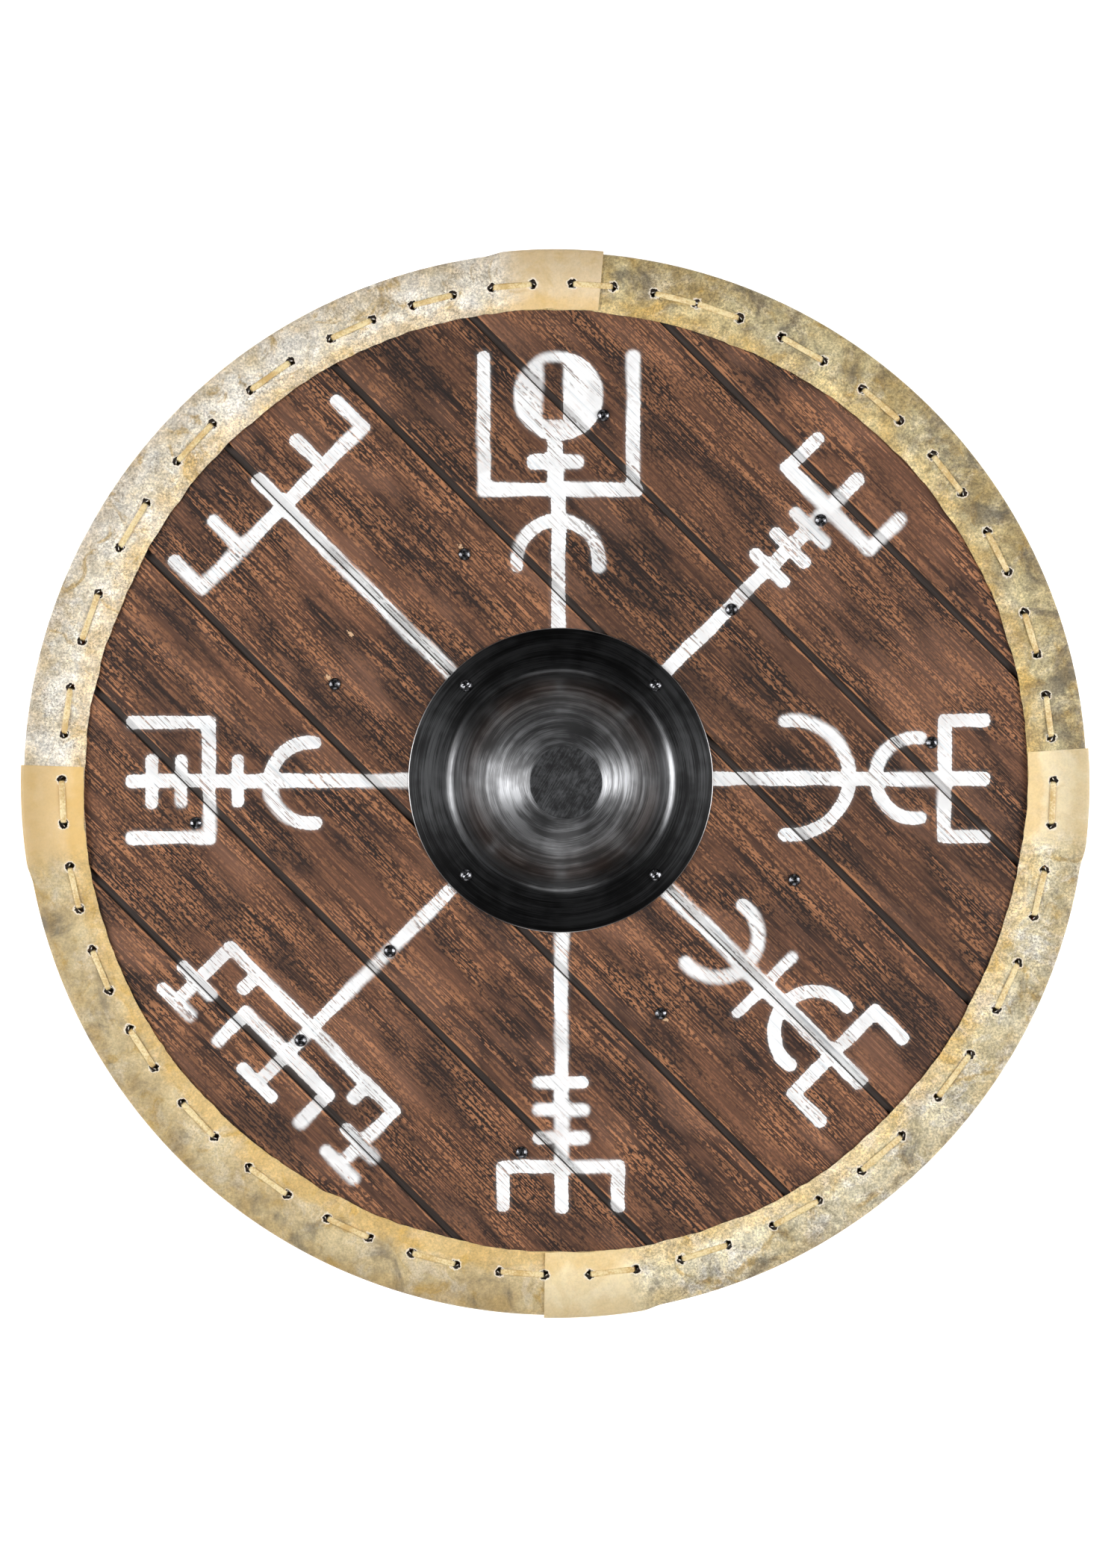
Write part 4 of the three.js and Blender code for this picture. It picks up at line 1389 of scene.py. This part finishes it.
@dataclass
class RimStrip:
    """One strip of rawhide folded over the boards' edge, with holes punched for the lace."""

    TO_HOLE = "to_hole"
    OUTWARD = "outward"
    LAPPED = "lapped"
    # Which points of the outer side the lining follows, from the back's inner edge to the face's.
    FOLLOWED = (50, 45, 40, 36, 31, 28, 25, 22, 16, 10, 3)

    node: str
    start: float
    end: float
    starts: End
    ends: End
    holes: HoleRing
    seed: int
    thickness: float = 1.6
    slack: float = 0.3
    inner_radius: float = 332.4
    wander: Waves = ((1, 1.8, 22), (2, 0.5, 109), (3, 0.5, 59), (4, 1.4, -93))
    lap: float = 10.0
    ramp: float = 2.5
    fold: float = 2.4
    puffed: float = 0.45
    lip_height: float = 0.55
    lip_radius: float = 3.6
    step: float = 1.7
    piece: bpy.types.Object | None = None

    def near_laps(self, degrees: Array, none: float, full: float) -> Array:
        """How near each place is to an end where this strip lies over its neighbour.

        Args:
            degrees: Clockwise angles from the top.
            none: Distance from that end, in degrees, beyond which the answer is 0.
            full: Distance from that end within which it is 1.
        """
        near = np.zeros_like(degrees)
        for edge, inward, kind in ((self.start, 1, self.starts), (self.end, -1, self.ends)):
            if kind is End.OVER:
                rise = smooth_step(edge + inward * none, edge + inward * full, degrees)
                near = np.maximum(near, rise)
        return near

    def lift(self, degrees: Array) -> Array:
        """How far the strip is raised by a neighbour beneath it, from 0 to 1."""
        foot = self.lap + 0.5
        return self.near_laps(degrees, foot + self.ramp, foot)

    def columns(self) -> Array:
        """Angles of the sections, from end to end."""
        first = self.start - (0 if self.starts is End.OVER else self.lap)
        last = self.end + (0 if self.ends is End.OVER else self.lap)
        return np.linspace(first, last, round(math.radians(last - first) * self.holes.radius / self.step))

    def outside(self) -> list[tuple[float, float, float]]:
        """The U's outer side, from the inner edge on the face to the inner edge on the back.

        Returns:
            For each point: share of the flange from its inner edge outwards, distance that it is
            moved out beyond the flange's end, and height above the middle of the boards' edge.
        """
        half = (DISC.face - DISC.back) / 2 + self.slack + self.thickness
        flange = [(share, 0.0, half) for share in np.linspace(0, 1, 25)]
        front = [(1.0, self.fold * math.sin(t), half - self.fold * (1 - math.cos(t)))
                 for t in np.radians([15, 30, 45, 60, 75, 90])]
        back = [(share, off, -z) for share, off, z in reversed(front)]
        web_points = [(1.0, self.fold, z) for z in np.linspace(half - self.fold, self.fold - half, 6)[1:-1]]
        behind = [(share, 0.0, -half) for share in np.linspace(1, 0, 12)]
        return flange + front + web_points + back + behind

    def skin(self, degrees: Array) -> tuple[Array, Array]:
        """The strip's outer surface: hand cut, puffed where it dried, and raised round each hole.

        Args:
            degrees: Angles of the sections, one a row.

        Returns:
            Distance from the disc's middle and height, for each section and point of the U.
        """
        share, off, height = (column[None, :] for column in np.array(self.outside()).T)
        raised = self.lift(degrees) * (self.thickness + self.slack)
        bend = DISC.radius + self.slack + self.thickness - self.fold
        uneven = Ripple(self.seed)
        around = np.radians(degrees) * self.holes.radius
        cut = 0.55 * uneven.layered(around / 21, 3.0) + 0.25 * uneven.layered(around / 6, 9.0, 2)
        edge = self.inner_radius + waves(self.wander, degrees) + cut
        radius = edge + (bend - edge) * share + off + raised * smooth_step(0.97, 1.0, share)
        side = np.sign(height)
        puff = 0.5 * (1 + uneven.layered(around / 26, (radius * side) / 15)) * np.minimum(1, 8 * share + 0.25)
        fine = 0.09 * uneven.layered(around / 5, radius * side / 4 + 30, 2)
        off_lip = self.to_hole(*DISC.place(degrees, radius)) - self.lip_radius
        lips = self.lip_height * np.exp(-(off_lip**2))
        return radius, DISC.middle + height + side * (raised + self.puffed * puff * (share < 1) + fine + lips)

    def lining(self, degrees: Array, radius: Array, height: Array) -> tuple[Array, Array]:
        """The strip's inner surface, which follows the outer one back a thickness below it.

        Args:
            degrees: Angles of the sections, one a row.
            radius: Distances of the outer surface's points.
            height: Heights of the outer surface's points.

        Returns:
            Distance from the disc's middle and height.
        """
        off = height[:, self.FOLLOWED] - DISC.middle
        thin = np.maximum(np.abs(off) - self.thickness - 0.05, 0) * np.sign(off)
        raised = self.lift(degrees) * (self.thickness + self.slack)
        return np.minimum(radius[:, self.FOLLOWED], DISC.radius + self.slack + raised), DISC.middle + thin

    def to_hole(self, x: Array, y: Array) -> Array:
        """Distance from each place to the nearest hole."""
        places = self.holes.places()
        return np.hypot(x[..., None] - places[:, 0], y[..., None] - places[:, 1]).min(axis=-1)

    def build(self) -> None:
        """Builds the strip: a U-shaped sweep round the rim, drilled for the lace."""
        degrees = self.columns()[:, None]
        radius, height = self.skin(degrees)
        below, depth = self.lining(degrees, radius, height)
        outer = np.stack([*DISC.place(degrees, radius), height], -1)
        inner = np.stack([*DISC.place(degrees, below), depth], -1)
        rings = np.concatenate([outer, inner], axis=1)
        self.piece = drilled(link(swept_mesh(self.node, rings)), self.holes.pegs(0, 2 * DISC.face))
        soften(self.piece.data, 50)
        self.mark()

    def mark(self) -> None:
        """Stores what the finish needs: distance to a hole, place on the flange and nearness to a lap."""
        points = vertex_positions(self.piece.data) / MM
        off_x, off_y = points[:, 0] - DISC.x, points[:, 1] - DISC.y
        radius = np.hypot(off_x, off_y)
        centre = (self.start + self.end) / 2
        degrees = (np.degrees(np.arctan2(off_x, off_y)) - centre + 180) % 360 - 180 + centre
        lapped = self.near_laps(degrees, self.lap + 3, self.lap - 1.5)
        set_attribute(self.piece.data, self.TO_HOLE, self.to_hole(points[:, 0], points[:, 1]))
        set_attribute(self.piece.data, self.OUTWARD, smooth_step(self.inner_radius, DISC.radius, radius))
        set_attribute(self.piece.data, self.LAPPED, lapped)

    def dress(self, finish: Rawhide) -> None:
        """Gives the strip its hide."""
        dress(self.piece, self.node, finish.make())


# ---------------------------------------------------------------- lace


@dataclass
class Lace:
    """One flat thong in a running stitch, in and out of every hole, its two ends sharing the first."""

    holes: HoleRing
    strips: list[RimStrip]
    width: float = 4.1
    thickness: float = 1.1
    tail: float = 24.0
    bend: float = 1.2
    off_centre: float = 1.4
    lies_above: float = 0.55
    twist: float = 0.16
    squeezed: float = 0.16
    piece: bpy.types.Object | None = None

    def level(self, on_face: bool, degrees: float) -> float:
        """Height of the thong's middle where it lies on the rim."""
        strip = self.strips[0]
        lifts = [float(s.lift(np.array([d]))[0]) for s in self.strips for d in (degrees, degrees + 360)
                 if s.start <= d <= s.end]
        hide = strip.thickness * (1 + max(lifts, default=0.0))
        off = strip.slack + hide + self.thickness / 2 + self.lies_above
        return DISC.face + off if on_face else DISC.back - off

    def corners(self) -> Array:
        """Corners of the route: x, y, height, and the direction the thong runs in there."""
        places = self.holes.places()
        count = self.holes.count
        stops: list[list[float]] = []

        def leg(here: Array, there: Array, height: float, trim: float) -> None:
            """Adds the two ends of a straight leg, each a little inside its hole."""
            way = (there - here) / np.hypot(*(there - here))
            for spot in (here + way * trim, there - way * trim):
                stops.append([*spot, height, *way])

        first = self.holes.degrees(0)
        behind = self.level(False, float(first))
        way = (places[1] - places[-1]) / np.hypot(*(places[1] - places[-1]))
        leg(places[0] + way * self.tail, places[0] + way * self.off_centre, behind, 0)
        for k in range(count):
            here, there = places[k], places[(k + 1) % count]
            degrees = float(self.holes.degrees(k + 0.5))
            leg(here, there, self.level(k % 2 == 0, degrees), self.off_centre)
        leg(places[0] - way * self.off_centre, places[0] - way * self.tail, behind, 0)
        return np.array(stops)

    def rounded(self, corners: Array) -> Array:
        """The route with its corners bent instead of sharp."""
        route = [corners[0]]
        for before, corner, after in zip(corners, corners[1:], corners[2:]):
            to_before = before[:3] - corner[:3]
            to_after = after[:3] - corner[:3]
            near, far = np.linalg.norm(to_before), np.linalg.norm(to_after)
            start = corner + (before - corner) * min(self.bend / near, 0.45)
            end = corner + (after - corner) * min(self.bend / far, 0.45)
            for t in np.linspace(0, 1, 7):
                route.append((1 - t) ** 2 * start + 2 * t * (1 - t) * corner + t**2 * end)
            if far > 6 * self.bend:
                next_start = after + (corner - after) * min(self.bend / far, 0.45)
                for t in np.linspace(0, 1, 9)[1:-1]:
                    route.append((1 - t) * end + t * next_start)
        route.append(corners[-1])
        return np.array(route)

    def build(self) -> None:
        """Builds the thong as a flat band along its route."""
        route = self.rounded(self.corners())
        spot = route[:, :3]
        way = route[:, 3:5] / np.linalg.norm(route[:, 3:5], axis=1)[:, None]
        run = np.gradient(spot, axis=0)
        run /= np.linalg.norm(run, axis=1)[:, None]
        side = np.stack([way[:, 1], -way[:, 0], 0 * way[:, 0]], -1)
        up = np.cross(side, run)
        up /= np.linalg.norm(up, axis=1)[:, None]
        far = np.concatenate([[0], np.cumsum(np.linalg.norm(np.diff(spot, axis=0), axis=1))])
        uneven = Ripple(5)
        wide = self.width / 2 * (1 + 0.07 * uneven.layered(far / 11, 1.0))
        flat = np.abs(run[:, 2])
        wide = wide * (1 - self.squeezed * flat)
        twist = self.twist * uneven.layered(far / 17, 7.0, 2)
        half = self.thickness / 2
        outline = [(-1, -0.55), (-0.86, -1), (-0.3, -1), (0.3, -1), (0.86, -1), (1, -0.55),
                   (1, 0.55), (0.86, 1), (0.3, 1.05), (-0.3, 1.05), (-0.86, 1), (-1, 0.55)]
        rings = []
        for a, b in outline:
            turned_a = a * wide * np.cos(twist) - b * half * np.sin(twist)
            turned_b = a * wide * np.sin(twist) + b * half * np.cos(twist)
            rings.append(spot + side * turned_a[:, None] + up * turned_b[:, None])
        self.piece = link(swept_mesh("lace", np.stack(rings, axis=1)))
        soften(self.piece.data, 50)

    def dress(self, finish: LaceHide) -> None:
        """Gives the lace its hide."""
        dress(self.piece, "lace", finish.make())


# ---------------------------------------------------------------- studio


@dataclass(frozen=True)
class Softbox:
    """A lit box of cloth that faces the middle of the shield."""

    name: str
    x: float
    y: float
    z: float
    width: float
    height: float
    watts: float

    def place(self) -> None:
        """Adds the light."""
        data = bpy.data.lights.new(self.name, "AREA")
        data.shape = "RECTANGLE"
        data.size = self.width
        data.size_y = self.height
        data.energy = self.watts
        lamp = bpy.data.objects.new(self.name, data)
        bpy.context.scene.collection.objects.link(lamp)
        lamp.location = (self.x, self.y, self.z)
        lamp.rotation_euler = lamp.location.to_track_quat("Z", "Y").to_euler()


@dataclass(frozen=True)
class Studio:
    """A pale floor, boxes to the left and right, dark overhead, and a camera straight above."""

    camera_height: float = 3.0
    frame_height: float = 1.106
    frame_x: float = -0.0005
    frame_y: float = -0.0026
    sensor: float = 36.0
    floor_size: float = 40.0
    floor_gap: float = 0.0002
    view_reach: float = 50.0
    dusk: str = "#202021"
    lights: tuple[Softbox, ...] = (
        Softbox("box_left", -2.3, 0.05, 1.95, 1.2, 2.3, 82),
        Softbox("box_right", 2.3, 0.0, 1.95, 1.2, 2.3, 80),
        Softbox("strip_top", 0.0, 2.8, 1.3, 1.6, 0.7, 4),
        Softbox("strip_bottom", 0.0, -2.8, 1.3, 1.6, 0.7, 15),
    )

    def build(self, floor: StudioFloor) -> None:
        """Adds the floor, the lights and the camera."""
        half = self.floor_size / 2
        mesh = bpy.data.meshes.new("floor")
        level = -self.floor_gap
        corners = [(-half, -half, level), (half, -half, level), (half, half, level), (-half, half, level)]
        mesh.from_pydata(corners, [], [(0, 1, 2, 3)])
        ground = link(mesh)
        ground.data.materials.append(floor.make())
        for light in self.lights:
            light.place()
        self.surroundings()
        self.camera()

    def surroundings(self) -> None:
        """Makes the room: dim grey."""
        world = bpy.data.worlds.new("studio")
        world.use_nodes = True
        sky = world.node_tree.nodes["Background"]
        sky.inputs["Color"].default_value = linear(self.dusk)
        sky.inputs["Strength"].default_value = 1.0
        bpy.context.scene.world = world
        bpy.context.scene.view_settings.view_transform = "Standard"

    def camera(self) -> None:
        """Hangs the camera over the shield, looking straight down with the top of the shield up."""
        data = bpy.data.cameras.new("camera")
        data.sensor_width = self.sensor
        data.lens = self.sensor * (self.camera_height - DISC.face * MM) / self.frame_height
        data.clip_end = self.view_reach
        camera = bpy.data.objects.new("camera", data)
        bpy.context.scene.collection.objects.link(camera)
        camera.location = (self.frame_x, self.frame_y, self.camera_height)
        bpy.context.scene.camera = camera


# ---------------------------------------------------------------- the shield


@dataclass
class Shield:
    """The whole shield, from its boards to its lace."""

    figure: Figure = field(default_factory=Figure)
    holes: HoleRing = field(default_factory=HoleRing)

    def strips(self) -> list[tuple[RimStrip, Rawhide]]:
        """The rim's four strips, each from another part of the hide."""
        smoked = Rawhide("limed_rawhide_smoked", fair="#dfcf9f", tan="#b69e68",
                         smoky=1.0, ambered=0.3, seed=310.0)
        pale = Rawhide("limed_rawhide_pale", fair="#f3e8c8", tan="#d9c89c", plain="#efdbb0",
                       smoky=0.75, limed=0.8, ambered=0.45, seed=120.0)
        tan = Rawhide("limed_rawhide_tan", fair="#dac699", tan="#bea77a", plain="#e5c389",
                      smoky=0.7, coarse=0.5, seed=530.0)
        cream = Rawhide("limed_rawhide_cream", fair="#faf3e6", tan="#e2d3b5", plain="#dfc496",
                        smoky=0.4, limed=0.9, ambered=0.45, seed=740.0)
        under, over = End.UNDER, End.OVER
        return [
            (RimStrip("rim_upper_right", 5.2, 86.2, under, under, self.holes, 21), smoked),
            (RimStrip("rim_lower_right", 86.2, 181.2, over, over, self.holes, 22), pale),
            (RimStrip("rim_lower_left", 181.2, 272.0, under, over, self.holes, 23), tan),
            (RimStrip("rim_upper_left", 272.0, 365.2, under, over, self.holes, 24), cream),
        ]

    def build(self) -> None:
        """Builds and dresses every piece in order."""
        boards = Boards(self.figure, self.holes)
        boards.build()
        boards.dress(StencilledBoards())
        wood = BattenWood().make()
        for node in ("upper_brace", "grip", "lower_brace"):
            batten = Batten(node)
            batten.build()
            batten.dress(wood)
        boss = Boss()
        boss.build()
        boss.dress(BrushedBlackSteel(), GroundBlackSteel())
        oxide = BlackOxideScrew().make()
        screws = [Screw(f"boss_screw_{n}", Drive.CROSS) for n in range(1, 5)]
        screws += [Screw(f"batten_screw_{n}", Drive.HEX) for n in range(1, 13)]
        for screw in screws:
            screw.build()
            screw.dress(oxide)
        strips = self.strips()
        for strip, hide in strips:
            strip.build()
            strip.dress(hide)
        lace = Lace(self.holes, [strip for strip, _ in strips])
        lace.build()
        lace.dress(LaceHide())


def main() -> None:
    """Builds the shield and its studio."""
    Shield().build()
    Studio().build(StudioFloor())


if __name__ == "__main__":
    main()
